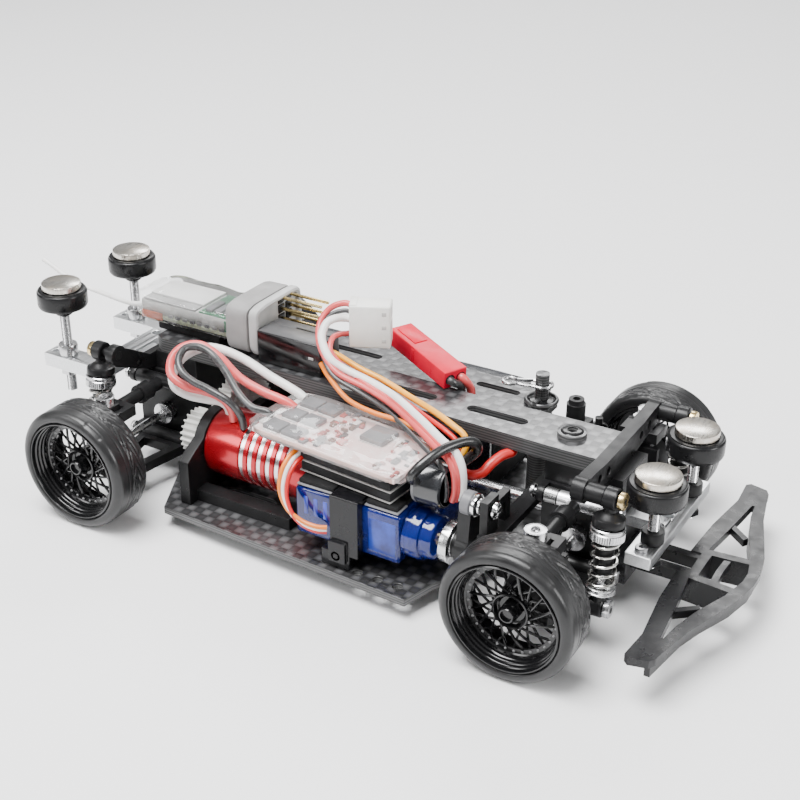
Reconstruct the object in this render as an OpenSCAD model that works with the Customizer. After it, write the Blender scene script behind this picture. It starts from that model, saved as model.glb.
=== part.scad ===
// Small-scale four-wheel-drive drift car chassis without its body shell.
// X runs forward, Y to the left, Z up; the wheels stand on z = 0. Millimetres.

/* [Wheels] */
// Distance between the front and rear axles
wheelbase = 94; // [92:0.5:96]
// Tyre outer radius
tyre_r = 12.5; // [12.2:0.1:12.6]
// Tyre width
tyre_w = 8.8; // [8.4:0.1:8.8]
// Pairs of crossing spokes in each rim
spoke_pairs = 12; // [8:1:14]
// Width over the outer faces of the wheels
wheel_span = 74; // [74:0.2:76]

/* [Chassis] */
// Lower plate thickness
plate_t = 1.5; // [1.2:0.1:1.5]
// Upper deck thickness
deck_t = 3; // [2:0.1:3]
// Half width of the upper deck
deck_half = 5.8; // [5:0.1:5.8]
// Foremost point of the bumper ahead of the front axle
bumper_reach = 31.5; // [30.5:0.1:32]

/* [Suspension] */
// Coils in each damper spring
spring_turns = 5.5; // [4.5:0.5:6.5]
// Spring wire radius
wire_r = 0.3; // [0.25:0.01:0.32]
// Radius of the knurled spring collar
collar_r = 3.1; // [2.9:0.05:3.1]

/* [Electronics] */
// Motor can radius
motor_r = 7; // [6.6:0.1:7]
// Magnet disc radius
magnet_r = 4.05; // [3.8:0.05:4.1]
// Magnet disc thickness
magnet_t = 1.4; // [1.2:0.1:1.5]

/* [Hidden] */
$fn = 48;

frame_x = 3.9;          // moves the middle of the overall length to x = 0
xf = wheelbase/2;       // front axle
xr = -wheelbase/2;      // rear axle
za = tyre_r;            // axle height
out_y = wheel_span/2;   // outer face of a wheel
in_y = out_y - tyre_w;  // inner face of a wheel
plate_z = 3;            // ground clearance
plate_top = plate_z + 1.5;
deck_z = 25.5;          // underside of the upper deck
deck_top = deck_z + deck_t;
piv_y = 8;              // suspension hinge pins
piv_lo = 7;
piv_hi = 20;
king_y = 25.3;          // kingpin axis

// ---------- helpers ----------
module at_frame() { translate([frame_x, 0, 0]) children(); }
module box(x0, x1, y0, y1, z0, z1) { translate([x0, y0, z0]) cube([x1 - x0, y1 - y0, z1 - z0]); }
module xcyl(y, z, r, x0, x1) { translate([x0, y, z]) rotate([0, 90, 0]) cylinder(r = r, h = x1 - x0); }
module ycyl(x, z, r, y0, y1) { translate([x, y0, z]) rotate([-90, 0, 0]) cylinder(r = r, h = y1 - y0); }
module zcyl(x, y, r, z0, z1) { translate([x, y, z0]) cylinder(r = r, h = z1 - z0); }
// a slab drawn in the Y-Z plane and extruded along X
module yz_slab(x0, x1) { translate([x0, 0, 0]) rotate([90, 0, 90]) linear_extrude(x1 - x0) children(); }
module slot2d(a, b, r) { hull() { translate(a) circle(r, $fn = 32); translate(b) circle(r, $fn = 32); } }
// left-hand copy of a right-hand piece
module side(s) { if (s > 0) mirror([0, 1, 0]) children(); else children(); }

function lerp(a, b, t) = a + (b - a)*t;
// a smooth curve through the points
function cr(p0, p1, p2, p3, t) = 0.5*((2*p1) + (p2 - p0)*t + (2*p0 - 5*p1 + 4*p2 - p3)*t*t + (3*p1 - p0 - 3*p2 + p3)*t*t*t);
function smooth(p, k) = [for (i = [0:len(p) - 2], j = [0:k - 1])
  cr(p[max(0, i - 1)], p[i], p[i + 1], p[min(len(p) - 1, i + 2)], j/k), p[len(p) - 1]];
function unit(v) = v/norm(v);
function tang(p, i) = unit(p[min(len(p) - 1, i + 1)] - p[max(0, i - 1)]);
function side_of(t) = abs(t[2]) < 0.9 ? unit(cross(t, [0, 0, 1])) : unit(cross(t, [1, 0, 0]));
// frames carried along the path so the tube does not twist
function carry(p, i, n) = i == len(p) ? [] : let (t = tang(p, i), m = unit(n - (n*t)*t)) concat([m], carry(p, i + 1, m));
module tube(p, r, n = 6) {
  ns = carry(p, 0, side_of(tang(p, 0)));
  L = len(p);
  pts = [for (i = [0:L - 1], k = [0:n - 1]) let (t = tang(p, i), a = ns[i], b = cross(t, a), w = 360*k/n) p[i] + r*(cos(w)*a + sin(w)*b)];
  polyhedron(points = pts, faces = concat(
    [[for (k = [0:n - 1]) k]],
    [[for (k = [n - 1:-1:0]) (L - 1)*n + k]],
    [for (i = [0:L - 2], k = [0:n - 1]) [i*n + k, (i + 1)*n + k, (i + 1)*n + (k + 1)%n]],
    [for (i = [0:L - 2], k = [0:n - 1]) [i*n + k, (i + 1)*n + (k + 1)%n, i*n + (k + 1)%n]]));
}
module wire(p, r) { tube(smooth(p, 3), r, 6); }
// spur gear outline with straight-flanked teeth and generous backlash
function gear_pts(n, m, th) = [for (i = [0:n - 1], q = [[-1, -1], [-1, 1], [1, 1], [1, -1]])
   let (rp = n*m/2, r = q[1] > 0 ? rp + 0.85*m : rp - 1.1*m, h = (q[1] > 0 ? 0.5 : 1.15)*th/2, a = 360*i/n + q[0]*h/r*57.2958)
   [r*cos(a), r*sin(a)]];

// ---------- plates ----------
module lower_plate() color([0.09, 0.09, 0.1]) at_frame() difference() {
  translate([0, 0, plate_top - plate_t]) linear_extrude(plate_t) difference() {
    polygon([[xr - 7.5, -7], [xr - 7.5, 7], [-41, 7.6], [-37.6, 16.2], [-31.9, 27.7], [24.6, 30.4], [26.5, 23.5], [33.5, 9.4], [40, 7.6],
      [xf + 7.5, 7], [xf + 7.5, -7], [40, -7.6], [33.5, -9.4], [26.5, -23.5], [24.6, -30.4], [-31.9, -27.7], [-37.6, -16.2], [-41, -7.6]]);
    for (s = [-1, 1], i = [0:2]) translate([13 + 4.25*i, s*27.4]) circle(1);
    translate([-35.8, -4.6]) square([5.2, 9.2]);
    for (s = [-1, 1]) translate([xf + 4, s*4]) circle(0.9);
    for (s = [-1, 1]) translate([xr - 4, s*4]) circle(0.9);
    for (x = [-20, -10, 0]) translate([x, 0]) circle(2);
    translate([13, 0]) circle(2);
    for (x = [-24, 8]) slot2d([x, -16], [x + 9, -16], 1.6);
  }
}
module upper_deck() color([0.1, 0.1, 0.11]) at_frame() {
  translate([0, 0, deck_z]) linear_extrude(deck_t) difference() {
    union() {
      polygon([[xr - 3, -deck_half + 1.2], [xr - 3, deck_half - 1.2], [xr - 1, deck_half], [12, deck_half], [18, deck_half - 0.6], [40, deck_half], [xf + 2.2, deck_half],
        [xf + 2.9, deck_half - 0.8], [xf + 2.9, -deck_half + 0.8], [xf + 2.2, -deck_half], [40, -deck_half], [18, -deck_half + 0.6], [12, -deck_half], [xr - 1, -deck_half]]);
    }
    slot2d([21.7, 0], [31.8, 0], 1.2);
    slot2d([3, 0], [12.6, 0], 1.2);
    slot2d([-16, 0], [-6, 0], 1.2);
    translate([41.9, 0]) circle(1.05);
    translate([-44, 0]) circle(1.05);
  }
  // large screw at the front end, small one at the rear
  difference() { union() { zcyl(41.9, 0, 2.7, deck_top, deck_top + 0.9); zcyl(41.9, 0, 1, deck_z + 0.1, deck_top); }
    zcyl(41.9, 0, 0.9, deck_top + 0.4, deck_top + 2); }
}
module battery_bar() color([0.1, 0.1, 0.11]) at_frame() {
  difference() {
    translate([0, 0, 24.5]) linear_extrude(1.5) difference() {
      polygon([[-37, 10.5], [-36, 9.6], [30.6, 9.6], [32, 11], [32, 15.6], [30.6, 17], [27, 17], [25.6, 19], [-36, 19], [-37, 18]]);
      slot2d([16, 14.3], [23.5, 14.3], 1);
      slot2d([-20, 14.3], [-8, 14.3], 1);
      translate([29.6, 13.3]) circle(1.45);
      translate([-34.2, 14.3]) circle(1.45);
    }
  }
  // two posts from the plate with a collar below the bar and a pinned head above it
  for (q = [[29.6, 13.3], [-34.2, 14.3]]) difference() {
    union() { zcyl(q[0], q[1], 2.2, plate_top, 24.4); zcyl(q[0], q[1], 1.35, 24.4, 32.2); }
    ycyl(q[0], 27.2, 0.45, 10, 20);
  }
  // spring clips: a wire through each post and a ring round it
  for (q = [[29.6, 13.3], [-34.2, 14.3]]) {
    ycyl(q[0], 27.2, 0.4, q[1] - 3.4, q[1] + 3.4);
    translate([q[0], q[1], 26.6]) rotate_extrude() translate([3, 0]) circle(0.4, $fn = 16);
  }
}

// ---------- gearboxes and towers ----------
// hx: axle position; d: +1 when the far end of the box faces forwards; ring: side the crown gear is on
module gearbox_shell(hx, d) {
  translate([hx, 0, 0]) mirror([d > 0 ? 0 : 1, 0, 0]) difference() {
    union() {
      box(-7.5, 7.5, -6.4, 6.4, plate_top, 21.6);
      box(-7.5, d > 0 ? 7.5 : 3, -5.8, 5.8, 21.6, deck_z);
      // ears holding the hinge pins
      for (e = [[-7.5, -6.1], [6.1, 7.5]], z = [piv_lo, piv_hi]) {
        box(e[0], e[1], -piv_y, piv_y, z - 1.6, z + 1.6);
        for (s = [-1, 1]) xcyl(s*piv_y, z, 1.6, e[0], e[1]);
      }
    }
    ycyl(0, za, 6.4, -5.2, 5.2);          // room for the crown gear
    xcyl(0, za, 3.3, -6.6, -3);           // room for the driving pinion
    xcyl(0, za, 1.5, -9, -3);             // shaft bearing
    ycyl(0, za, 2, -8, 8);                // outdrive bearings
    for (s = [-1, 1], z = [piv_lo, piv_hi]) xcyl(s*piv_y, z, 0.8, -9, 9);
  }
}
module front_gearbox() color([0.05, 0.05, 0.055]) at_frame() {
  gearbox_shell(xf, 1);
  // side bracket with a short capped post
  difference() {
    union() { box(35.2, xf - 7.5, 5, 16, 22.6, 24); box(xf - 7.5, xf - 5, 5.8, 7.6, 22.6, 24); box(38, xf - 7.5, 3, 6, 22.6, 24); zcyl(36.6, 13.9, 1.85, 24, 27.4); zcyl(36.6, 13.9, 1.5, 27.4, 28.4); }
    zcyl(36.6, 13.9, 0.7, 27.6, 29);
  }
}
module rear_gearbox() color([0.05, 0.05, 0.055]) at_frame() gearbox_shell(xr, -1);

sh_dir = unit([0, 1.5, 11.5]);           // damper axis on the right side, upwards and inwards
sh_r = norm([1.5, 11.5]);
sh_len = 20.3;
function sh_top(x) = [x, -19.5, 8.5] + sh_len*sh_dir;
sfx = xf + 9.8;
srx = xr - 7.75;
module front_tower_shape() {
  ty = 19.5 - sh_len*sh_dir[1]; tz = 8.5 + sh_len*sh_dir[2];
  difference() {
    union() {
      polygon([[-6.2, deck_z + 0.02], [6.2, deck_z + 0.02], [12, 26.4], [ty, tz - 2.1], [ty, tz + 1.9], [13, 30.4], [9, 30], [-9, 30], [-13, 30.4], [-ty, tz + 1.9], [-ty, tz - 2.1], [-12, 26.4]]);
      for (s = [-1, 1]) translate([s*ty, tz]) circle(2.2);
    }
    for (s = [-1, 1]) { translate([s*11.4, 28.3]) circle(0.8); translate([s*7.6, 27.9]) circle(0.8); translate([s*ty, tz]) circle(0.92); }
  }
}
module tower_shape(low) {
  ty = 19.5 - sh_len*sh_dir[1]; tz = 8.5 + sh_len*sh_dir[2];
  difference() {
    union() {
      polygon([[-5.6, low], [5.6, low], [5.6, 21.8], [9, 22.4], [ty + 1.2, tz - 2], [ty, tz], [ty - 1.5, tz + 1.2], [7.5, 25.2], [-7.5, 25.2], [-ty + 1.5, tz + 1.2], [-ty, tz], [-ty - 1.2, tz - 2], [-9, 22.4], [-5.6, 21.8]]);
      for (s = [-1, 1]) translate([s*ty, tz]) circle(2.1);
    }
    for (s = [-1, 1]) { translate([s*11, 24.6]) circle(0.8); translate([s*ty, tz]) circle(0.92); }
  }
}
module damper_towers() color([0.05, 0.05, 0.055]) at_frame() {
  yz_slab(xf + 3, xf + 5.3) front_tower_shape();
  yz_slab(xr - 4.8, xr - 3) tower_shape(21.6);
  ty = 19.5 - sh_len*sh_dir[1]; tz = 8.5 + sh_len*sh_dir[2];
  // studs and screw heads for the damper eyes
  for (s = [-1, 1]) {
    xcyl(s*ty, tz, 0.9, xf + 3, sfx + 1.5);
    xcyl(s*ty, tz, 1.7, xf + 5.3, sfx - 1.3);
    xcyl(s*ty, tz, 1.5, sfx + 1.5, sfx + 2.4);
    xcyl(s*ty, tz, 0.9, srx - 1.5, xr - 3);
    xcyl(s*ty, tz, 1.5, srx - 2.4, srx - 1.5);
  }
}
module hinge_pins() color([0.75, 0.76, 0.78]) at_frame() {
  for (x = [xf, xr], s = [-1, 1], z = [piv_lo, piv_hi]) {
    xcyl(s*piv_y, z, 0.75, x - 8.2, x + 8.2);
    for (e = [-8.8, 8.2]) xcyl(s*piv_y, z, 1.25, x + e, x + e + 0.6);
  }
}

// ---------- magnetic body posts ----------
fmx = 62; fmy = 9.55; fmz = 31.3; rmx = -69.5; rmy = 11.1; rmz = 38.5;
module front_magnet_bar() color([0.8, 0.81, 0.83]) at_frame() difference() {
  union() {
    box(59.1, 63.9, -15, 15, 15.4, 17.7);
    box(xf + 7.5, 59.1, -3.4, 3.4, 15.4, 17.7);
  }
  for (s = [-1, 1]) { zcyl(fmx, s*fmy, 1.1, 14, 19); zcyl(61.5, s*13.2, 0.9, 14, 19); }
  for (y = [0, -4.6, 4.6]) zcyl(61.5, y, 0.8, 14, 19);
}
module rear_magnet_arms() color([0.8, 0.81, 0.83]) at_frame() difference() {
  union() {
    for (s = [-1, 1]) side(s) box(-74.5, -58.6, -13.4, -8.6, 19, 22);
    box(-62.6, -58.6, -13.4, 13.4, 19, 22);
    box(-58.6, xr - 7.5, -3.4, 3.4, 18.4, 21.4);
  }
  for (s = [-1, 1]) { zcyl(rmx, s*rmy, 1.1, 14, 24); zcyl(-73, s*rmy, 0.7, 14, 24); zcyl(-60.6, s*7, 0.9, 14, 24); }
}
module magnet_post(x, y, zt, arm_top, tail, cup_h) {
  zm = zt - magnet_t;
  zcyl(x, y, 1.05, tail, zm - cup_h);                       // steel screw rod
  zcyl(x, y, 2.1, arm_top, arm_top + 2.5);                  // collar on the bracket
  zcyl(x, y, 1.85, zm - cup_h - 1.8, zm - cup_h);           // neck of the cup
  zcyl(x, y, 1.9, arm_top - 3 - 1.4, arm_top - 3.05);       // nut below the bracket
  rotate_extrude_at(x, y) polygon([[0, zm - cup_h], [4.8, zm - cup_h], [5.2, zm - cup_h + 0.4], [5.2, zm - 0.6], [4.9, zm - 0.35], [4.9, zm - 0.05], [0, zm - 0.05]]);
}
module rotate_extrude_at(x, y) translate([x, y, 0]) rotate_extrude() children();
module magnet_posts() color([0.05, 0.05, 0.055]) at_frame() for (s = [-1, 1]) {
  magnet_post(fmx, s*fmy, fmz, 17.75, 12.6, 4);
  magnet_post(rmx, s*rmy, rmz, 22.05, 13.6, 4);
}
module magnets() color([0.72, 0.7, 0.66]) at_frame() for (s = [-1, 1]) {
  for (m = [[fmx, s*fmy, fmz], [rmx, s*rmy, rmz]]) rotate_extrude_at(m[0], m[1])
    polygon([[0, m[2] - magnet_t], [magnet_r - 0.2, m[2] - magnet_t], [magnet_r, m[2] - magnet_t + 0.2], [magnet_r, m[2] - 0.2], [magnet_r - 0.2, m[2]], [0, m[2]]]);
}

// ---------- bumper ----------
bx = xf + bumper_reach;
module front_bumper() color([0.06, 0.06, 0.065]) at_frame() {
  // curved blade in plan, upright, with a narrow top flange
  blade = [[70.6, -30], [72, -20], [73.6, -14.6], [bx - 2.2, -7.6], [bx - 0.9, -1.6], [bx - 0.9, 1.6], [bx - 2.2, 7.6], [73.6, 14.6], [72, 20], [70.6, 30]];
  inner = [[69.6, 30], [70.9, 20], [72.4, 14.2], [bx - 3.4, 7.1], [bx - 2.1, 1.5], [bx - 2.1, -1.5], [bx - 3.4, -7.1], [72.4, -14.2], [70.9, -20], [69.6, -30]];
  front = [[71.2, -30], [bx - 5.1, -20], [bx - 3.3, -14.6], [bx - 1, -7.6], [bx, -2], [bx, 2], [bx - 1, 7.6], [bx - 3.3, 14.6], [bx - 5.1, 20], [71.2, 30]];
  translate([0, 0, 5.8]) linear_extrude(3.9) polygon(concat(blade, inner));
  translate([0, 0, 8.6]) linear_extrude(1.1) polygon(concat(front, inner));
  for (s = [-1, 1]) side(s) {
    // end plate and the wide brace running in from it
    translate([0, 0, 8.2]) linear_extrude(1.5) polygon([[66.4, -31], [67.2, -31.8], [70.6, -31], [71.4, -29.6], [71.2, -24], [69.9, -24], [68.9, -13.6], [67.6, -3.4], [65.2, -3.4], [65.6, -13.6], [66.9, -24.6]]);
    // deep bar between the brace and the blade, and two struts
    translate([0, 0, 4.6]) linear_extrude(5.1) polygon([[66.4, -5.1], [75.6, -5.9], [76, -4.3], [66.8, -3.4]]);
    translate([0, 0, 8]) linear_extrude(1.5) polygon([[68.2, -15.2], [72.2, -11.8], [72.8, -12.8], [68.6, -16.4]]);
    translate([0, 0, 8]) linear_extrude(1.5) polygon([[71.4, -5], [72.6, -5], [72.4, 0.01], [71.2, 0.01]]);
  }
  // mounting bars back to the gearbox, their cross plate and foot
  for (s = [-1, 1]) box(xf + 9, 68.6, s*2.7 - 0.9, s*2.7 + 0.9, 7, 9.4);
  box(67.2, 69, -3.8, 3.8, 4.6, 9.7);
  box(xf + 7.5, xf + 9.4, -6, 6, 4.6, 10.2);
}

// ---------- motor ----------
my = -13.08; mz = za + 1.8;
mx0 = -27.6; mx1 = -3;
module motor_can() color([0.75, 0.06, 0.09]) at_frame() difference() {
  union() {
    translate([mx0, my, mz]) rotate([0, 90, 0]) rotate_extrude() polygon(concat([[0, 0], [motor_r - 0.6, 0], [motor_r, 0.6]],
      [for (i = [0:5], q = [[0, 0], [0, 1], [1, 1], [1, 0]]) let (z0 = 8.6 + 2.1*i) [motor_r - q[1]*0.35, z0 + q[0]*1.1 + (q[1] > 0 ? 0 : (q[0] > 0 ? 0.1 : -0.1))]],
      [[motor_r, 24], [motor_r - 0.6, 24.6], [0, 24.6]]));
    xcyl(my, mz, 2.5, mx0 - 1.9, mx0);
    xcyl(my, mz, 2.4, mx1, mx1 + 0.9);
  }
  xcyl(my, mz, 1.05, mx0 - 3, mx0 + 9);
  for (a = [0, 120, 240]) xcyl(my + 4.6*cos(a + 30), mz + 4.6*sin(a + 30), 0.8, mx1 - 0.5, mx1 + 1);
}
module motor_mount() color([0.05, 0.05, 0.055]) at_frame() difference() {
  union() {
    yz_slab(-30, -27.65) polygon(concat([[-24.6, plate_top], [4.6, plate_top], [4.6, 14.4], [2.6, 16], [-2.6, 16]],
      [for (a = [6:15:156]) [my + 6.8*cos(a), mz + 6.8*sin(a)]], [[-22, 15.6], [-24.6, 14]]));
    box(-27.7, -5.6, -22.2, -19, plate_top, 7);
    box(-27.7, -5.6, -7.2, -4.4, plate_top, 7);
  }
  xcyl(my, mz, 2.6, -31, -27);
  xcyl(my, mz, motor_r + 0.1, -27.64, 0);
  xcyl(0, za, 1.5, -31, -27);
  for (a = [60, 180, 300]) xcyl(my + 5*cos(a), mz + 5*sin(a), 0.85, -31, -27);
}
module motor_pinion() color([0.88, 0.88, 0.86]) at_frame() {
  difference() {
    translate([-34.9, my, mz]) rotate([90, 0, 90]) linear_extrude(3.8) rotate(mesh_a + 180 + 180/22) polygon(gear_pts(22, 0.4, 0.56));
    for (a = [0:60:300]) xcyl(my + 2.7*cos(a), mz + 2.7*sin(a), 0.6, -36, -30);
  }
  xcyl(my, mz, 1, -36, -19.5);
}

// ---------- centre shaft, spur gear and axle gears ----------
mesh_a = atan2(mz - za, my);              // direction from the shaft to the motor in Y-Z
module spur2d(n, th, a) rotate(a) polygon(gear_pts(n, 0.4, th));
module centre_shaft() color([0.7, 0.71, 0.73]) at_frame() {
  xcyl(0, za, 1.45, xr + 4.6, xf - 4.6);
  for (d = [1, -1]) mirror([d > 0 ? 0 : 1, 0, 0]) translate([wheelbase/2 - 5.8, 0, za]) rotate([90, 0, 90]) linear_extrude(1)
    polygon([for (i = [0:11], q = [[-1, -1], [-1, 1], [1, 1], [1, -1]]) let (r = q[1] > 0 ? 2.95 : 2, h = q[1] > 0 ? 0.12 : 0.26, a = 30*i + q[0]*h/r*57.2958) [r*cos(a), r*sin(a)]]);
  // 44-tooth spur gear on its hub
  difference() {
    union() {
      translate([-34.5, 0, za]) rotate([90, 0, 90]) linear_extrude(3) spur2d(44, 0.56, mesh_a);
      xcyl(0, za, 3, -35, -30.8);
    }
    for (a = [0:60:300]) xcyl(5.4*cos(a), za + 5.4*sin(a), 1.3, -36, -30);
  }
}
module axle_shaft(hx, rs) {
  translate([hx, 0, za]) {
    rotate([-90, 0, 0]) translate([0, 0, -king_y]) cylinder(r = 0.8, h = 2*king_y);
    for (s = [-1, 1]) translate([0, s*king_y, 0]) sphere(1.15);
    for (s = [-1, 1]) side(s) { ycyl(0, 0, 1.95, -7.6, -4.6); ycyl(0, 0, 2.3, -8.6, -7.6); }
    // crown gear with radial teeth facing the pinion
    side(rs) {
      ycyl(0, 0, 6, -4.6, -3.15);
      translate([0, -3.2, 0]) rotate([-90, 0, 0]) linear_extrude(1.15) intersection() {
        difference() { circle(5.8); circle(4.65); }
        union() for (i = [0:23]) rotate(15*i + 7.5) translate([3, -0.2]) square([4, 0.4]);
      }
    }
  }
}
module front_diff() color([0.6, 0.61, 0.63]) at_frame() axle_shaft(xf, 1);
module rear_diff() color([0.6, 0.61, 0.63]) at_frame() axle_shaft(xr, -1);

// ---------- suspension ----------
module lower_arm(d, s, sx) translate([d > 0 ? xf : xr, 0, 0]) side(s) {
  e = sx > 0 ? 1 : -1;
  difference() {
    union() {
      xcyl(-piv_y, piv_lo, 1.6, -6, 6);
      translate([0, 0, 5]) linear_extrude(2) difference() {
        polygon([[-6, -piv_y], [6, -piv_y], [4.4, -17], [3.8, -21.5], [3.8, -23], [-3.8, -23], [-3.8, -21.5], [-4.4, -17]]);
        polygon([[-3.6, -11], [3.6, -11], [2.2, -18], [-2.2, -18]]);
      }
      for (q = [[-3.8, -2.4], [2.4, 3.8]]) { box(q[0], q[1], -king_y, -22.1, 5, 8.2); xcyl(-king_y, piv_lo, 1.6, q[0], q[1]); }
    }
    xcyl(-piv_y, piv_lo, 0.8, -7, 7);
  }
  xcyl(-king_y, piv_lo, 0.6, -3.8, 3.8);
  // stalk and stud for the damper
  if (sx > 0) {
    translate([0, 0, 5]) linear_extrude(2) polygon([[3.4, -14], [7.7, -17.4], [7.7, -21.4], [3.4, -21.4]]);
    box(6.1, 7.7, -21.2, -17.8, 5, 9.9);
    xcyl(-19.5, 8.5, 0.9, 7.3, 11.25); xcyl(-19.5, 8.5, 1.6, 11.25, 12.2);
  } else {
    translate([0, 0, 5]) linear_extrude(2) polygon([[-3.4, -15], [-5.9, -17.4], [-5.9, -21.4], [-3.4, -21.4]]);
    box(-5.9, -4.3, -21.2, -17.8, 5, 9.9);
    xcyl(-19.5, 8.5, 0.9, -9.2, -5.5); xcyl(-19.5, 8.5, 1.6, -10.1, -9.2);
  }
}
module upper_arm(d, s) translate([d > 0 ? xf : xr, 0, 0]) side(s) {
  difference() {
    union() {
      xcyl(-piv_y, piv_hi, 1.5, -5.9, 5.9);
      ycyl(0, piv_hi, 1.35, -21, -9.2);
      ycyl(0, piv_hi, 2, -15.5, -12.5);
      box(-3.8, 3.8, -22.6, -20.8, 18.9, 21.1);
      for (q = [[-3.8, -2.4], [2.4, 3.8]]) { box(q[0], q[1], -king_y, -22, 18.9, 21.1); xcyl(-king_y, piv_hi, 1.3, q[0], q[1]); }
    }
    xcyl(-piv_y, piv_hi, 0.8, -7, 7);
  }
  xcyl(-king_y, piv_hi, 0.6, -3.8, 3.8);
}
// steering carrier between the two front arms
module carrier_front(s) translate([xf, 0, 0]) side(s) difference() {
  union() {
    box(-4.2, 4.2, -21.8, -20.6, 7.5, 17.9);
    box(-2.2, 2.2, -27, -20.6, 7.5, 8.4);
    xcyl(-king_y, piv_lo, 1.6, -2.2, 2.2);
    box(-2.2, 2.2, -27, -20.6, 16.7, 17.9);
    box(-2.2, 2.2, -27, -23.6, 17.9, 22.2);
    zcyl(0, -king_y, 1.95, 22.2, 24);
    zcyl(0, -king_y, 0.8, 8.4, 9.3);
    zcyl(0, -king_y, 0.8, 15.6, 16.8);
  }
  ycyl(0, za, 2.4, -22, -20);
  xcyl(-king_y, piv_hi, 0.65, -3, 3);
  xcyl(-king_y, piv_lo, 0.65, -3, 3);
  zcyl(0, -king_y, 0.8, 23.2, 25);
}
module knuckle(s) translate([xf, 0, 0]) side(s) difference() {
  union() {
    intersection() { ycyl(0, za, 4.3, -27.6, -23.4); box(-5, 5, -28, -23, 8.8, 16.3); }
    ycyl(0, za, 2.9, -30.6, -27.6);
    // steering arm with its upright pin
    box(-10, -3, -26.4, -24.2, 13, 14.4);
    zcyl(-10, -king_y, 1.5, 13, 14.4);
    zcyl(-10, -king_y, 0.8, 14.4, 19.2);
  }
  ycyl(0, za, 3, -27, -20);
  ycyl(0, za, 1.55, -32, -20);
  zcyl(0, -king_y, 0.85, 8, 17);
}
module carrier_rear(s) translate([xr, 0, 0]) side(s) difference() {
  union() {
    box(-2.2, 2.2, -27.2, -23.6, 7.4, 22.2);
    xcyl(-king_y, piv_lo, 1.6, -2.2, 2.2);
    ycyl(0, za, 4.1, -27.6, -23.4);
    ycyl(0, za, 2.9, -30.6, -27.6);
    zcyl(0, -king_y, 1.95, 22.2, 24);
  }
  ycyl(0, za, 3, -27, -20);
  ycyl(0, za, 1.55, -32, -20);
  xcyl(-king_y, piv_hi, 0.65, -3, 3);
  xcyl(-king_y, piv_lo, 0.65, -3, 3);
  zcyl(0, -king_y, 0.8, 23.2, 25);
}

// ---------- dampers ----------
// children are drawn along +Z from the lower eye on the right side
module on_damper(x, s) side(s) translate([x, -19.5, 8.5]) rotate([-atan2(sh_dir[1], sh_dir[2]), 0, 0]) children();
cor = [[1, -1], [1, 1], [-1, -1], [-1, 1]];
module damper_bodies() color([0.05, 0.05, 0.055]) at_frame() for (c = cor) on_damper(c[0] > 0 ? sfx : srx, c[1]) difference() {
  union() {
    rotate_extrude() polygon([[0, 6.6], [1.7, 6.6], [1.7, 11.5], [2.3, 11.5], [2.3, 13.8], [2.35, 13.8], [2.35, 15.6], [2.75, 15.6], [2.75, 17], [2.2, 17.4], [1.2, 18], [0, 18]]);
    rotate_extrude() polygon([[2.2, 11.5], [collar_r, 11.5], [collar_r, 13.8], [2.2, 13.8]]);
    translate([-1.15, 0, sh_len]) rotate([0, 90, 0]) cylinder(r = 2, h = 2.3);
    translate([0, 0, 17.4]) cylinder(r = 1.1, h = 1.6);
  }
  translate([0, 0, 6]) cylinder(r = 0.8, h = 5);
  translate([-2, 0, sh_len]) rotate([0, 90, 0]) cylinder(r = 0.96, h = 4);
}
module damper_rod(x, s) color([0.74, 0.75, 0.77]) at_frame() on_damper(x, s) difference() {
  union() {
    cylinder(r = 0.74, h = 9);
    translate([0, 0, 2.9]) cylinder(r = 2.6, h = 1.2);
    translate([0, 0, 4.1]) cylinder(r = 1.5, h = 0.5);
    translate([-1.2, 0, 0]) rotate([0, 90, 0]) cylinder(r = 1.9, h = 2.4);
    cylinder(r = 1.3, h = 3);
  }
  translate([-2, 0, 0]) rotate([0, 90, 0]) cylinder(r = 1.0, h = 4);
}
module spring(x, s) color([0.7, 0.71, 0.74]) at_frame() on_damper(x, s) {
  n = 12*spring_turns; z0 = 4.15 + wire_r; z1 = 11.45 - wire_r;
  tube([for (i = [0:n]) let (a = 30*i) [(2.2)*cos(a), (2.2)*sin(a), z0 + (z1 - z0)*i/n]], wire_r, 5);
}

// ---------- wheels ----------
module rim(x, s) color([0.04, 0.04, 0.045]) at_frame() translate([x, 0, za]) side(s) rotate([90, 0, 0]) union() {
  // barrel with a stepped lip, then cup, stub axle and hub
  rotate_extrude() polygon([[9.4, in_y + 0.3], [9.98, in_y + 0.3], [9.98, out_y - 0.6], [10.25, out_y - 0.6], [10.25, out_y - 0.1], [9.9, out_y], [9.4, out_y - 0.5], [9.1, out_y - 0.6], [9.1, out_y - 1.5], [8.7, out_y - 1.8], [8.7, out_y - 4.8], [9.4, out_y - 5.4]]);
  rotate_extrude() polygon([[2.5, 23.6], [2.9, 23.6], [2.9, 26.9], [1.5, 26.9], [1.5, 30.8], [2.4, 30.8], [2.4, out_y - 5.2], [3, out_y - 5.2], [3, out_y - 2.6], [2.5, out_y - 2.2], [1.5, out_y - 2.2], [1.5, out_y - 1.4], [0, out_y - 1.4], [0, 26.7], [2.5, 26.7]]);
  translate([0, 0, out_y - 4.6]) linear_extrude(1) intersection() {
    circle(9);
    union() {
      for (i = [0:spoke_pairs - 1], q = [-1, 1]) rotate(360*i/spoke_pairs) translate([2.2, 0]) rotate(q*24) translate([0, -0.28]) square([8, 0.56]);
      circle(3);
      difference() { circle(9); circle(8.5); }
    }
  }
}
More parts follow.
